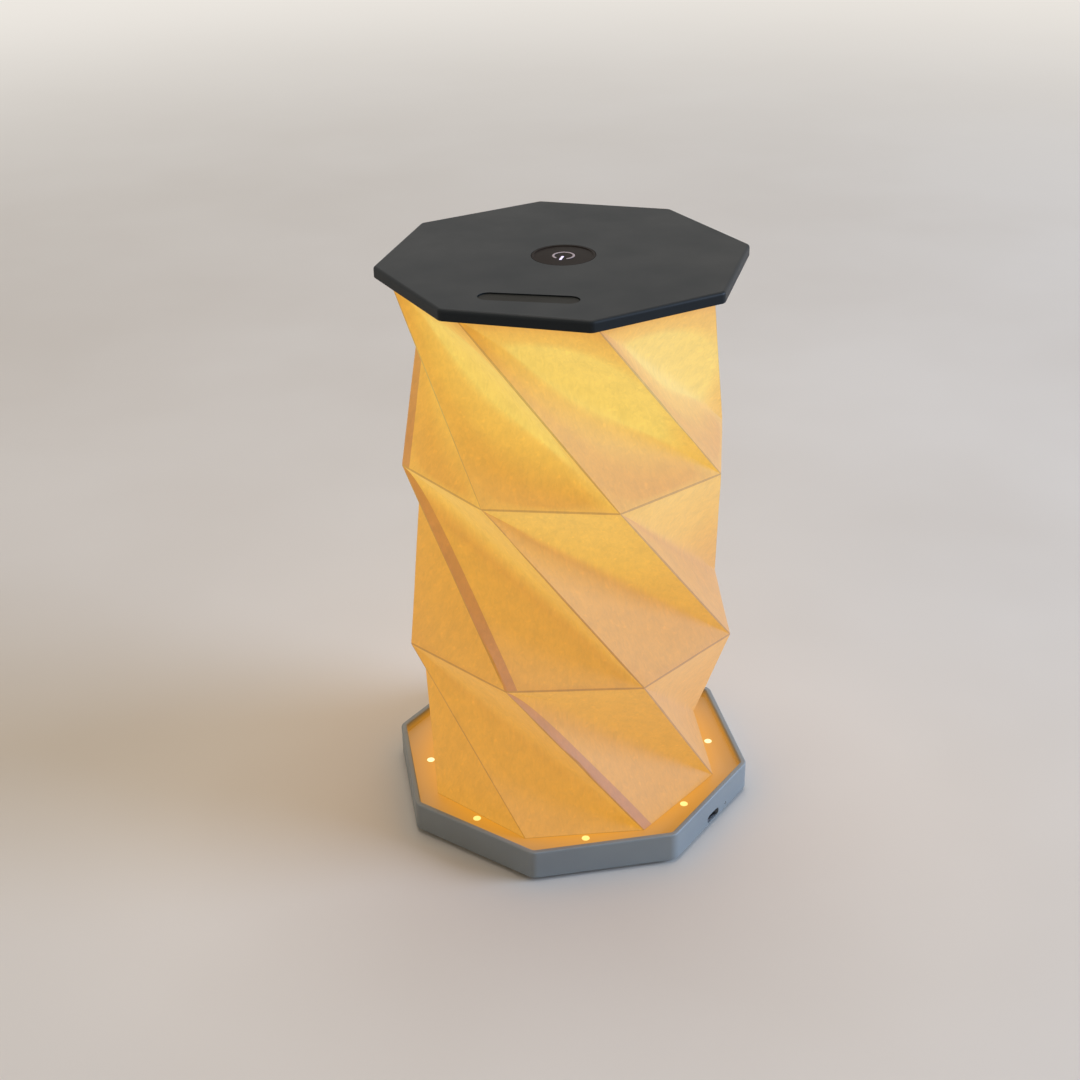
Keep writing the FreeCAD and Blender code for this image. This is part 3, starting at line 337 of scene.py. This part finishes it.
def makeShade():
    heights, angles = shadeRings()
    radii = [r * mm for r in shadeSet["ringRadii"]]
    deselectAll()
    bpy.ops.mesh.primitive_circle_add(vertices=shadeSet["sides"], radius=radii[0],
                                      location=(0, 0, heights[0]),
                                      rotation=(0, 0, math.radians(angles[0])))
    shade = bpy.context.object
    shade.name = "paperShade"
    settle(shade)
    # the second paper, worn by the crease strips, glows less than the facets: a painted shade
    # line along each crease
    wear(shade, paperMaterial("washiPaper"),
         paperMaterial("creasePaperPaintedShade", (0.66, 0.60, 0.52)),
         paperMaterial("gluedPaper", (0.72, 0.58, 0.52), "#636F73"))
    foldTiers(shade, heights, radii)
    for tier in range(3):
        markSeam(shade, heights, angles, radii, tier)

    # end flaps, folded inwards under the plate and onto the tray
    for end in (0, 3):
        height = heights[end]
        pick(shade, "edges", lambda e: e.is_boundary and
             all(abs(v.co.z - height) < shadeSet["slack"] * mm for v in e.verts))
        bpy.ops.mesh.extrude_region_move()
        shrink = 1 - shadeSet["flap"] * mm / radii[end]
        bpy.ops.transform.resize(value=(shrink, shrink, 1), center_override=(0, 0, height))

    # mountain folds and the level ones are scored, and their creases are narrow strips of their
    # own, whose dimmer glow is a painted shade line along each crease; the valleys between them
    # stay soft
    pick(shade, "edges", lambda e: len(e.link_faces) == 2 and
         e.calc_face_angle() > math.radians(1) and
         (not e.is_convex or abs(e.verts[0].co.z - e.verts[1].co.z) < mm))
    bpy.ops.mesh.bevel(offset=shadeSet["foldWidth"] * mm, segments=1, affect="EDGES",
                       material=1)
    # the facets between them bow a little
    pick(shade, "faces", lambda f: f.material_index == 0 and
         abs(f.normal.z) < shadeSet["level"])
    bpy.ops.mesh.inset(thickness=shadeSet["softEdge"] * mm, depth=shadeSet["bow"] * mm,
                       use_individual=True)
    # both sides of a crease stay sharp when the sheet is made finer
    pick(shade, "edges", lambda e: any(
        f.material_index > 0 or abs(f.normal.z) > shadeSet["level"] for f in e.link_faces))
    bpy.ops.transform.edge_crease(value=1.0)
    bpy.ops.object.mode_set(mode="OBJECT")

    finer = shade.modifiers.new("finer", "SUBSURF")
    finer.levels = finer.render_levels = shadeSet["fineness"]
    finer.boundary_smooth = "PRESERVE_CORNERS"
    uneven = bpy.data.textures.new("sheetCockle", "CLOUDS")
    uneven.noise_scale = shadeSet["cockleSize"] * mm
    cockle = shade.modifiers.new("cockle", "DISPLACE")
    cockle.texture = uneven
    cockle.texture_coords = "LOCAL"
    cockle.strength = shadeSet["cockle"] * mm
    cockle.mid_level = 0.5
    wall = shade.modifiers.new("wall", "SOLIDIFY")
    wall.thickness = shadeSet["paper"] * mm
    wall.offset = -1
    applyModifiers(shade)
    smooth(shade, 30)

    # nothing of the sheet goes past its two seats
    startEdit(shade, "VERT")
    for end, inner in ((0, -1), (3, 1)):
        pick(shade, "verts", lambda v: (v.co.z - heights[end]) * inner < 0)
        bpy.ops.transform.resize(value=(1, 1, 0), center_override=(0, 0, heights[end]))
    bpy.ops.object.mode_set(mode="OBJECT")

    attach(shade, "base")
    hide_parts("paper_shade")
    height = heights[0] - heights[3]
    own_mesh(shade)
    print("paper shade folded")


glowSet = {
    "lamp": (0, 0, 231.5),          # the opal cup, in mm
    "full": 1750.0,                 # light that counts as fully lit
    "falloff": -3.0,                # steeper than a bare lamp's, as the paper takes its share
    "bounce": 0.20,                 # light that reaches the paper after a bounce
    "side": 0.07,                   # what the cup gives sideways, against 1 straight down
    "strength": 0.93,
    # paper lit through, from the foot of the shade to the brightest place below the cup
    "stops": ((0.15, "#D68E26"), (0.30, "#E29E2C"), (0.48, "#ECB03A"), (0.72, "#F0B844"),
              (1.0, "#F5CB58")),
    "sheet": "#5A6B68",             # what the sheet gives back of the room's light
}


washiSet = {
    "cloudSize": 6.0,            # mm, cloudy formation of the pulp
    "fibreSize": 1.4,            # mm, of the pattern before it is drawn out
    "fibreSquash": (1.0, 1.0, 0.22),
    "fibreLay": (0.5, 0.4, 0.9),
    "formation": (0.90, 1.10),   # light let through by the thickest and the thinnest pulp
    "thinSize": 2.6,             # mm, small thin places
    "thinShare": 0.10,           # light that they let through on top of that
    "relief": 0.12,
    "reliefHeight": 0.1,
}


# Washi, a long-fibred mulberry paper, cast on a screen, scored and pleated. Matt and slightly
# fuzzy; lit from inside it glows amber, brightest where a fold comes near the lamp, with
# cloudy pulp and fine fibres.
def paperMaterial(name, glowShare=(1, 1, 1), sheet=None):
    material, tree, place = newMaterial(name)
    surface = addNode(tree, "ShaderNodeNewGeometry")
    fromLamp = addNode(tree, "ShaderNodeVectorMath", {0: place}, operation="SUBTRACT")
    fromLamp.inputs[1].default_value = [c * mm for c in glowSet["lamp"]]
    far = addNode(tree, "ShaderNodeVectorMath", {0: fromLamp.outputs[0]}, operation="LENGTH")
    way = addNode(tree, "ShaderNodeVectorMath", {0: fromLamp.outputs[0]},
                  operation="NORMALIZE")
    facing = addNode(tree, "ShaderNodeVectorMath",
                     {0: way.outputs[0], 1: surface.outputs["Normal"]},
                     operation="DOT_PRODUCT")
    facing = addNode(tree, "ShaderNodeMath", {0: facing.outputs["Value"]},
                     operation="ABSOLUTE")
    split = addNode(tree, "ShaderNodeSeparateXYZ", {0: way.outputs[0]})
    downwards = addNode(tree, "ShaderNodeMath", {0: split.outputs["Z"]}, {1: -1.0},
                        operation="MULTIPLY", use_clamp=True)
    spread = addNode(tree, "ShaderNodeMath", {0: downwards.outputs[0]},
                     {1: glowSet["side"]}, operation="ADD")
    near = addNode(tree, "ShaderNodeMath", {0: far.outputs["Value"]},
                   {1: glowSet["falloff"]}, operation="POWER")
    light = addNode(tree, "ShaderNodeMath", {0: facing.outputs[0], 1: near.outputs[0]},
                    operation="MULTIPLY")
    light = addNode(tree, "ShaderNodeMath", {0: light.outputs[0], 1: spread.outputs[0]},
                    operation="MULTIPLY")
    light = addNode(tree, "ShaderNodeMath", {0: light.outputs[0]},
                    {1: 1 / glowSet["full"], 2: glowSet["bounce"]}, operation="MULTIPLY_ADD")
    glow = addNode(tree, "ShaderNodeValToRGB", {"Fac": light.outputs[0]},
                   stops=glowSet["stops"])

    clouds = addNode(tree, "ShaderNodeTexNoise", {"Vector": place},
                     {"Scale": 1 / (washiSet["cloudSize"] * mm), "Detail": 4.0,
                      "Roughness": 0.6})
    # long fibres, about 0.4 mm by 6 mm; drawn twice as coarse as real ones so that they show
    lay = addNode(tree, "ShaderNodeMapping", {"Vector": place})
    lay.inputs["Rotation"].default_value = washiSet["fibreLay"]
    lay.inputs["Scale"].default_value = washiSet["fibreSquash"]
    fibres = addNode(tree, "ShaderNodeTexNoise", {"Vector": lay.outputs[0]},
                     {"Scale": 1 / (washiSet["fibreSize"] * mm), "Detail": 3.0,
                      "Roughness": 0.55, "Distortion": 0.8})
    formation = addNode(tree, "ShaderNodeMath",
                        {0: clouds.outputs["Fac"], 1: fibres.outputs["Fac"]},
                        operation="ADD")
    least, most = washiSet["formation"]
    formation = addNode(tree, "ShaderNodeMapRange", {"Value": formation.outputs[0]},
                        {"From Min": 0.65, "From Max": 1.35, "To Min": least, "To Max": most})
    thin = addNode(tree, "ShaderNodeTexNoise", {"Vector": place},
                   {"Scale": 1 / (washiSet["thinSize"] * mm), "Detail": 1.0})
    thin = addNode(tree, "ShaderNodeMapRange", {"Value": thin.outputs["Fac"]},
                   {"From Min": 0.66, "From Max": 0.78, "To Min": 0.0,
                    "To Max": washiSet["thinShare"]})
    formation = addNode(tree, "ShaderNodeMath",
                        {0: formation.outputs[0], 1: thin.outputs[0]}, operation="ADD")
    share = addNode(tree, "ShaderNodeVectorMath", {0: glow.outputs["Color"]},
                    operation="MULTIPLY")
    share.inputs[1].default_value = glowShare
    cloudy = addNode(tree, "ShaderNodeVectorMath",
                     {0: share.outputs[0], "Scale": formation.outputs[0]}, operation="SCALE")
    relief = addNode(tree, "ShaderNodeBump", {"Height": fibres.outputs["Fac"]},
                     {"Strength": washiSet["relief"],
                      "Distance": washiSet["reliefHeight"] * mm})
    shader = addNode(tree, "ShaderNodeBsdfPrincipled",
                     {"Emission Color": cloudy.outputs[0], "Normal": relief.outputs[0]},
                     {"Base Color": linear(sheet or glowSet["sheet"]), "Roughness": 0.85,
                      "Specular IOR Level": 0.25, "Sheen Weight": 0.15,
                      "Emission Strength": glowSet["strength"]})
    addNode(tree, "ShaderNodeOutputMaterial", {"Surface": shader.outputs[0]})
    return material


leadSet = {
    # coil of the lead inside the shade, in mm, from the plug up to the light's board
    "low": 8.0,
    "lowCircle": 20.0,
    "highCircle": 10.5,
    "turns": 2.5,
    "stub": 8.5,
    "thick": 1.6,
    "perTurn": 12,
}


def makeLead(jacket):
    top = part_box("inner_lead")[1].z
    low, stub = leadSet["low"] * mm, leadSet["stub"] * mm
    count = round(leadSet["turns"] * leadSet["perTurn"])
    turns = 360 * leadSet["turns"]
    points = [around(leadSet["lowCircle"] * mm, 0, low)]
    for i in range(count + 1):
        share = i / count
        circle = leadSet["lowCircle"] + (leadSet["highCircle"] - leadSet["lowCircle"]) * share
        points.append(around(circle * mm, turns * share,
                             low + stub + (top - low - 2 * stub) * share))
    points.append(around(leadSet["highCircle"] * mm, turns, top))
    data = bpy.data.curves.new("leadCoil", "CURVE")
    data.dimensions = "3D"
    run = data.splines.new("NURBS")
    run.points.add(len(points) - 1)
    for point, at in zip(run.points, points):
        point.co = (*at, 1)
    run.order_u = 3
    run.use_endpoint_u = True
    run.resolution_u = 4
    data.bevel_depth = leadSet["thick"] / 2 * mm
    data.bevel_resolution = 3
    data.use_fill_caps = True
    lead = bpy.data.objects.new("leadCoil", data)
    bpy.context.scene.collection.objects.link(lead)
    selectOnly(lead)
    bpy.ops.object.convert(target="MESH")
    lead = bpy.context.object
    smooth(lead, 50)
    wear(lead, jacket)
    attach(lead, "base")
    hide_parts("inner_lead")
    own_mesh(lead)
    print("lead coil wound")


screwSet = {
    "head": 1.9,
    "headDepth": 0.9,
    "shank": 0.9,
    "cross": (2.1, 0.5, 0.45),       # length, width and depth of the drive
    "sides": 16,
    "driven": 23.0,                  # degrees that each drive is turned from the one before
    # piece, node, body, circle, first angle, count, length, head up
    "rows": (
        ("coverScrews", "cover_screws", "base", 66.0, 22.5, 4, 4.2, False),
        ("lowerRingScrews", "lower_ring_screws", "base", 53.86, -5.2, 8, 3.6, True),
        ("upperRingScrews", "upper_ring_screws", "top", 55.71, -113.8, 8, 3.6, False),
        ("underPlateScrews", "under_plate_screws", "top", 38.0, -138.1, 4, 2.1, False),
    ),
}


def makeScrews(steel):
    head, deep = screwSet["head"] * mm, screwSet["headDepth"] * mm
    for name, node, body, circle, start, count, length, headUp in screwSet["rows"]:
        low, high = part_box(node)
        seat = high.z if headUp else low.z
        deselectAll()
        bpy.ops.mesh.primitive_circle_add(vertices=screwSet["sides"], radius=head,
                                          fill_type="NGON", location=(0, 0, 0))
        screw = bpy.context.object
        screw.name = name
        startEdit(screw)
        bpy.ops.mesh.select_all(action="SELECT")
        narrow = screwSet["shank"] / screwSet["head"]
        for drop, shrink in ((-deep, narrow), (deep - length * mm, 1)):
            bpy.ops.mesh.extrude_region_move(TRANSFORM_OT_translate={"value": (0, 0, drop)})
            bpy.ops.transform.resize(value=(shrink, shrink, 1))
        pick(screw, "edges", lambda e: e.is_boundary)
        bpy.ops.mesh.edge_face_add()
        bpy.ops.mesh.select_all(action="SELECT")
        bpy.ops.mesh.normals_make_consistent(inside=False)
        bpy.ops.object.mode_set(mode="OBJECT")
        long, wide, sunk = screwSet["cross"]
        for turn in (0, 90):
            deselectAll()
            bpy.ops.mesh.primitive_cube_add(size=1, location=(0, 0, 0),
                                            rotation=(0, 0, math.radians(turn)),
                                            scale=(long * mm, wide * mm, 2 * sunk * mm))
            slot = bpy.context.object
            drive = screw.modifiers.new("drive", "BOOLEAN")
            drive.object = slot
            drive.solver = "EXACT"
            applyModifiers(screw)
            bpy.data.objects.remove(slot)
        copies = []
        for i in range(count):
            copy = screw.copy()
            copy.data = screw.data.copy()
            bpy.context.scene.collection.objects.link(copy)
            copy.location = around(circle * mm, start + 360 / count * i, seat)
            copy.rotation_euler = (0 if headUp else math.pi, 0,
                                   math.radians(screwSet["driven"] * i))
            copies.append(copy)
        bpy.data.objects.remove(screw)
        selectOnly(copies[0])
        for copy in copies:
            copy.select_set(True)
        bpy.ops.object.join()
        screws = bpy.context.object
        screws.name = name
        settle(screws)
        smooth(screws, 30)
        wear(screws, steel)
        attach(screws, body)
        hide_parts(node)
    print("screws in")


signSet = {
    "radius": 3.9,            # of the broken ring
    "line": 0.85,
    "thick": 0.08,
    "gap": 62.0,              # degrees left open for the bar
    "bar": (0.9, 5.0),        # from the middle outwards
    "turn": -116.0,           # the bar points to the front and a little left
    "barWider": 1.1,          # than the line of the ring
    "sunk": 0.3,              # from the button's highest place to the face that is printed
    "steps": 36,
    "softEdge": 0.03,
    "ink": ("#A2949A", 0.10),        # colour and glow of the ring, and of the bar
    "litInk": ("#E6DCFF", 0.9),
}


def makeSign():
    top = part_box("power_button")[1].z - signSet["sunk"] * mm
    radius, line = signSet["radius"] * mm, signSet["line"] * mm
    thick = signSet["thick"] * mm
    deselectAll()
    # an arc spun from one short edge, then thickened
    bpy.ops.mesh.primitive_plane_add(size=1, location=(radius, 0, top))
    sign = bpy.context.object
    sign.name = "powerSign"
    sign.scale = (line, line, 1)
    settle(sign)
    startEdit(sign, "EDGE")
    pick(sign, "verts", lambda v: v.co.y < 0)
    bpy.ops.mesh.delete(type="VERT")
    bpy.ops.mesh.select_all(action="SELECT")
    bpy.ops.transform.resize(value=(1, 0, 1), center_override=(radius, 0, top))
    sweep = math.radians(360 - signSet["gap"])
    bpy.ops.mesh.spin(steps=signSet["steps"], angle=sweep, center=(0, 0, top),
                      axis=(0, 0, 1))
    bpy.ops.object.mode_set(mode="OBJECT")
    deselectAll()
    start, end = signSet["bar"]
    bpy.ops.mesh.primitive_plane_add(size=1, location=((start + end) / 2 * mm, 0, top))
    bar = bpy.context.object
    bar.scale = ((end - start) * mm, line * signSet["barWider"], 1)
    settle(bar)
    # the spin runs clockwise, so the ring's opening lies to the other side of its start
    for piece, turn in ((sign, signSet["turn"] - signSet["gap"] / 2), (bar, signSet["turn"])):
        wall = piece.modifiers.new("wall", "SOLIDIFY")
        wall.thickness = thick
        wall.offset = 1
        soft = piece.modifiers.new("soft", "BEVEL")
        soft.width = signSet["softEdge"] * mm
        soft.segments = 2
        applyModifiers(piece)
        piece.rotation_euler = (0, 0, math.radians(turn))
        settle(piece)
        startEdit(piece)
        bpy.ops.mesh.select_all(action="SELECT")
        bpy.ops.mesh.remove_doubles(threshold=0.001 * mm)
        bpy.ops.mesh.normals_make_consistent(inside=False)
        low = min(v.co.z for v in bmesh.from_edit_mesh(piece.data).verts)
        bpy.ops.transform.translate(value=(0, 0, top - low))
        bpy.ops.object.mode_set(mode="OBJECT")
    wear(sign, inkMaterial("signInk", *signSet["ink"]))
    wear(bar, inkMaterial("signLit", *signSet["litInk"]))
    bar.name = "powerBar"
    for piece in (sign, bar):
        smooth(piece, 30)
        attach(piece, "power_button")
    print("power sign printed")


mouldedSet = {
    "grain": 0.25,             # mm, the tool's; a real one is nearer 0.05 mm
    "handled": 30.0,           # mm, patches where the surface was touched
    "roughShift": 0.05,
    "relief": 0.25,
    "reliefHeight": 0.03,      # mm
    "ior": 1.53,
}


# ABS, injection moulded against a spark-eroded tool: satin, with a fine grain that only
# shows as a soft highlight.
def mouldedMaterial(name, colour, shade, rough, gloss=0.5):
    material, tree, place = newMaterial(name)
    pits = addNode(tree, "ShaderNodeTexNoise", {"Vector": place},
                   {"Scale": 1 / (mouldedSet["grain"] * mm), "Detail": 2.0})
    handled, tone = cloudyTone(tree, place, mouldedSet["handled"], 4.0,
                               ((0.3, shade), (0.7, colour)))
    dull = addNode(tree, "ShaderNodeMapRange", {"Value": handled},
                   {"From Min": 0.3, "From Max": 0.7,
                    "To Min": rough - mouldedSet["roughShift"],
                    "To Max": rough + mouldedSet["roughShift"]})
    relief = addNode(tree, "ShaderNodeBump", {"Height": pits.outputs["Fac"]},
                     {"Strength": mouldedSet["relief"],
                      "Distance": mouldedSet["reliefHeight"] * mm})
    shader = addNode(tree, "ShaderNodeBsdfPrincipled",
                     {"Base Color": tone, "Roughness": dull.outputs[0],
                      "Normal": relief.outputs[0]},
                     {"IOR": mouldedSet["ior"], "Specular IOR Level": gloss},
                     name="plastic")
    addNode(tree, "ShaderNodeOutputMaterial", {"Surface": shader.outputs[0]})
    return material


traySet = {
    "plastic": ("#8D9496", "#858C8F", 0.42),     # two tones and the roughness
    "glow": "#EDA027",         # lamp light that lies on the tray around the shade's foot
    "lit": "#8A6434",          # and the plastic's tone under it
    "glowStrength": 0.80,
    "glowFrom": 57.0,          # mm from the lamp's axis
    "glowTo": 73.0,
    "glowEdge": 0.45,          # what is left of the glow there
    "floor": 10.4,             # height of the tray's floor
    "rim": 14.5,
    "reach": 69.6,             # from the axis to the inside of the rim
    # mm over which the glow comes in under the floor, fades up the rim and ends in the wall
    "floorBlend": (-0.4, -0.1),
    "rimBlend": (1.0, -0.3),
    "wallBlend": (-0.1, 0.6),
}


# The tray is the same white ABS; its floor and the inside of its rim catch the lamp's light.
def trayMaterial():
    material = mouldedMaterial("whiteAbsTray", *traySet["plastic"])
    tree = material.node_tree
    shader = tree.nodes["plastic"]
    place = addNode(tree, "ShaderNodeTexCoord").outputs["Object"]
    split = addNode(tree, "ShaderNodeSeparateXYZ", {0: place})
    flat = addNode(tree, "ShaderNodeVectorMath", {0: place}, operation="MULTIPLY")
    flat.inputs[1].default_value = (1, 1, 0)
    out = addNode(tree, "ShaderNodeVectorMath", {0: flat.outputs[0]}, operation="LENGTH")
    near = addNode(tree, "ShaderNodeMapRange", {"Value": out.outputs["Value"]},
                   {"From Min": traySet["glowFrom"] * mm, "From Max": traySet["glowTo"] * mm,
                    "To Min": 1.0, "To Max": traySet["glowEdge"]})
    start, end = traySet["floorBlend"]
    inside = addNode(tree, "ShaderNodeMapRange", {"Value": split.outputs["Z"]},
                     {"From Min": (traySet["floor"] + start) * mm,
                      "From Max": (traySet["floor"] + end) * mm})
    start, end = traySet["rimBlend"]
    lower = addNode(tree, "ShaderNodeMapRange", {"Value": split.outputs["Z"]},
                    {"From Min": (traySet["floor"] + start) * mm,
                     "From Max": (traySet["rim"] + end) * mm, "To Min": 1.0, "To Max": 0.0})
    # outside faces of the wall are further out than the rim's inner edge
    within = octagonReach(tree, place)
    share = near
    for limit in (inside.outputs[0], lower.outputs[0], within):
        share = addNode(tree, "ShaderNodeMath", {0: share.outputs[0], 1: limit},
                        operation="MULTIPLY")
    plain = shader.inputs["Base Color"].links[0].from_socket
    tone = addNode(tree, "ShaderNodeMix", {0: share.outputs[0], 6: plain},
                   {7: linear(traySet["lit"])}, data_type="RGBA")
    tree.links.new(tone.outputs[2], shader.inputs["Base Color"])
    share = addNode(tree, "ShaderNodeMath", {0: share.outputs[0]},
                    {1: traySet["glowStrength"]}, operation="MULTIPLY")
    glow = addNode(tree, "ShaderNodeVectorMath", {"Scale": share.outputs[0]},
                   operation="SCALE")
    glow.inputs[0].default_value = linear(traySet["glow"])[:3]
    tree.links.new(glow.outputs[0], shader.inputs["Emission Color"])
    shader.inputs["Emission Strength"].default_value = 1.0
    return material


# 1 inside the rim of the tray and 0 in its wall, from the distances to its eight sides
def octagonReach(tree, place):
    furthest = None
    for side in range(4):
        lean = addNode(tree, "ShaderNodeVectorMath", {0: place}, operation="DOT_PRODUCT")
        angle = math.radians(45 * side)
        lean.inputs[1].default_value = (math.cos(angle), math.sin(angle), 0)
        lean = addNode(tree, "ShaderNodeMath", {0: lean.outputs["Value"]},
                       operation="ABSOLUTE")
        furthest = lean if furthest is None else addNode(
            tree, "ShaderNodeMath", {0: furthest.outputs[0], 1: lean.outputs[0]},
            operation="MAXIMUM")
    start, end = traySet["wallBlend"]
    within = addNode(tree, "ShaderNodeMapRange", {"Value": furthest.outputs[0]},
                     {"From Min": (traySet["reach"] + start) * mm,
                      "From Max": (traySet["reach"] + end) * mm,
                      "To Min": 1.0, "To Max": 0.0})
    return within.outputs[0]


# Screen ink, warmed from below by the small diode under the button.
def inkMaterial(name, colour, glow):
    material, tree, place = newMaterial(name)
    _, tone = cloudyTone(tree, place, 0.3, 1.0, ((0.2, "#8A7E86"), (0.6, colour)))
    shader = addNode(tree, "ShaderNodeBsdfPrincipled",
                     {"Base Color": tone, "Emission Color": tone},
                     {"Roughness": 0.5, "Emission Strength": glow})
    addNode(tree, "ShaderNodeOutputMaterial", {"Surface": shader.outputs[0]})
    return material


# Silicone jacket: dull, slightly waxy and dark.
def siliconeMaterial():
    material, tree, place = newMaterial("siliconeJacket")
    _, tone = cloudyTone(tree, place, 3.0, 4.0, ((0.4, "#1E1E1F"), (0.75, "#333232")))
    shader = addNode(tree, "ShaderNodeBsdfPrincipled", {"Base Color": tone},
                     {"Roughness": 0.62, "Coat Weight": 0.1, "Coat Roughness": 0.5})
    addNode(tree, "ShaderNodeOutputMaterial", {"Surface": shader.outputs[0]})
    return material


# Metals, plated or drawn: a little cloudy in tone and in gloss; lit is light that they
# throw back at the lamp.
def metalMaterial(name, bright, dull, rough, lit=None):
    material, tree, place = newMaterial(name)
    cloudy, tone = cloudyTone(tree, place, 0.8, 3.0, ((0.3, dull), (0.7, bright)))
    worn = addNode(tree, "ShaderNodeMapRange", {"Value": cloudy},
                   {"From Min": 0.3, "From Max": 0.7, "To Min": rough + 0.06,
                    "To Max": rough - 0.06})
    shader = addNode(tree, "ShaderNodeBsdfPrincipled",
                     {"Base Color": tone, "Roughness": worn.outputs[0]},
                     {"Metallic": 1.0, "Emission Color": linear(lit or "#000000"),
                      "Emission Strength": 1.0 if lit else 0.0})
    addNode(tree, "ShaderNodeOutputMaterial", {"Surface": shader.outputs[0]})
    return material


# Opal acrylic over lit diodes: an even milky warm glow with a soft gloss.
def opalMaterial():
    material, tree, place = newMaterial("opalAcrylic")
    _, tone = cloudyTone(tree, place, 14.0, 2.0, ((0.3, "#FFE2A6"), (0.7, "#FFECC0")))
    shader = addNode(tree, "ShaderNodeBsdfPrincipled",
                     {"Base Color": tone, "Emission Color": tone},
                     {"Roughness": 0.3, "IOR": 1.49, "Emission Strength": 3.0})
    addNode(tree, "ShaderNodeOutputMaterial", {"Surface": shader.outputs[0]})
    return material


# Glass-filled board under green solder mask: a woven grid just shows through the lacquer.
def boardMaterial():
    material, tree, place = newMaterial("solderMask")
    warp, weft = [addNode(tree, "ShaderNodeTexWave", {"Vector": place},
                          {"Scale": 1 / (2.4 * mm), "Distortion": 0.4}, bands_direction=way)
                  for way in ("X", "Y")]
    weave = addNode(tree, "ShaderNodeMath", {0: warp.outputs["Fac"], 1: weft.outputs["Fac"]},
                    operation="MULTIPLY")
    tone = addNode(tree, "ShaderNodeValToRGB", {"Fac": weave.outputs[0]},
                   stops=((0.0, "#0E4A2B"), (1.0, "#1A6440")))
    shader = addNode(tree, "ShaderNodeBsdfPrincipled", {"Base Color": tone.outputs["Color"]},
                     {"Roughness": 0.4, "Coat Weight": 0.4, "Coat Roughness": 0.2})
    addNode(tree, "ShaderNodeOutputMaterial", {"Surface": shader.outputs[0]})
    return material


# Matt moulded parts with a tone that varies over a few millimetres: rubber, foam, film.
def mattMaterial(name, light, dark, grain, rough, relief, **values):
    material, tree, place = newMaterial(name)
    cells, tone = cloudyTone(tree, place, grain, 3.0, ((0.3, dark), (0.7, light)))
    bump = addNode(tree, "ShaderNodeBump", {"Height": cells},
                   {"Strength": relief, "Distance": 0.1 * mm})
    shader = addNode(tree, "ShaderNodeBsdfPrincipled",
                     {"Base Color": tone, "Normal": bump.outputs[0]},
                     {"Roughness": rough, **values})
    addNode(tree, "ShaderNodeOutputMaterial", {"Surface": shader.outputs[0]})
    return material


def finishNodes():
    white = mouldedMaterial("whiteAbs", *traySet["plastic"])
    # ABS under a soft-touch lacquer: dark blue-grey, with hardly any shine
    dark = mouldedMaterial("softTouchAbs", "#161C20", "#12181C", 0.48, 0.18)
    # printed touch film in its groove, browner than the plate around it
    film = mouldedMaterial("dimmerFilm", "#14140F", "#10100C", 0.50, 0.10)
    # fine matt cap, warm black
    cap = mouldedMaterial("buttonCap", "#19110D", "#140E0B", 0.50, 0.06)
    # zinc plate on steel: pale bluish metal, a little cloudy
    zinc = metalMaterial("zincPlate", "#B9BCC0", "#A6A9AE", 0.32)
    # nickel plate on a neodymium slug: bright, faintly yellow
    nickel = metalMaterial("nickelPlate", "#D8D2C4", "#C9C2B2", 0.18)
    # the tray's magnets catch the lamp straight through the gap under the paper
    litNickel = metalMaterial("nickelPlateLit", "#E6DFC8", "#DDD5BC", 0.2, "#F0DC84")
    # drawn stainless sheet: greyer, with a duller gloss
    stainless = metalMaterial("drawnStainless", "#B4B5B8", "#9FA0A4", 0.30)
    # aluminium foil laminate of the cell's pouch: pale and soft in its gloss
    foil = metalMaterial("pouchFoil", "#C9CBCE", "#BABCC0", 0.38)
    # moulded rubber, grey-black and dry
    rubber = mattMaterial("mouldedRubber", "#2C2C2D", "#242425", 0.8, 0.8, 0.2)
    # closed-cell foam tape with visible cells
    foam = mattMaterial("foamTape", "#4A4A4C", "#3C3C3E", 0.5, 0.9, 0.6)
    # polyimide film over copper tracks: amber brown, smooth
    ribbon = mattMaterial("polyimideFilm", "#A8662A", "#965A22", 4.0, 0.35, 0.0)
    # yellow phosphor gel that fills a diode
    diode = mattMaterial("diodePhosphor", "#F2DFA0", "#E8D28C", 0.6, 0.4, 0.0)
    # clear acrylic rod, which looks grey where no light comes through
    guide = mattMaterial("clearAcrylic", "#C8CCCC", "#B8BEBE", 2.0, 0.12, 0.0,
                         **{"Transmission Weight": 0.7, "IOR": 1.49})
    board, silicone, opal = boardMaterial(), siliconeMaterial(), opalMaterial()
    finishes = {
        "base_tray": trayMaterial(), "bottom_cover": white,
        "top_cover": dark, "under_plate": dark, "dimmer_strip": film, "power_button": cap,
        "lower_shade_ring": dark, "upper_shade_ring": dark, "lead_plug": dark,
        "switch_plunger": dark, "tact_switch": zinc, "charging_socket": stainless,
        "base_magnets": litNickel, "top_magnets": nickel, "rubber_feet": rubber,
        "lead_grommet": rubber, "battery_pad": foam, "battery_cell": foil,
        "charge_board": board, "led_board": board, "charge_light_pipe": guide,
        "base_lead": silicone, "battery_lead": silicone, "opal_diffuser": opal,
        "led_chips": diode, "button_led": diode, "touch_ribbon": ribbon,
    }
    for name, material in finishes.items():
        for slot in nodes[name].material_slots:
            slot.material = material
        if not nodes[name].material_slots:
            nodes[name].data.materials.append(material)
    print("finishes on", len(finishes), "CAD nodes")
    return finishes


makeCamera()
makeStage()
finishes = finishNodes()
makeShade()
makeLead(finishes["base_lead"])
makeScrews(finishes["tact_switch"])
makeSign()
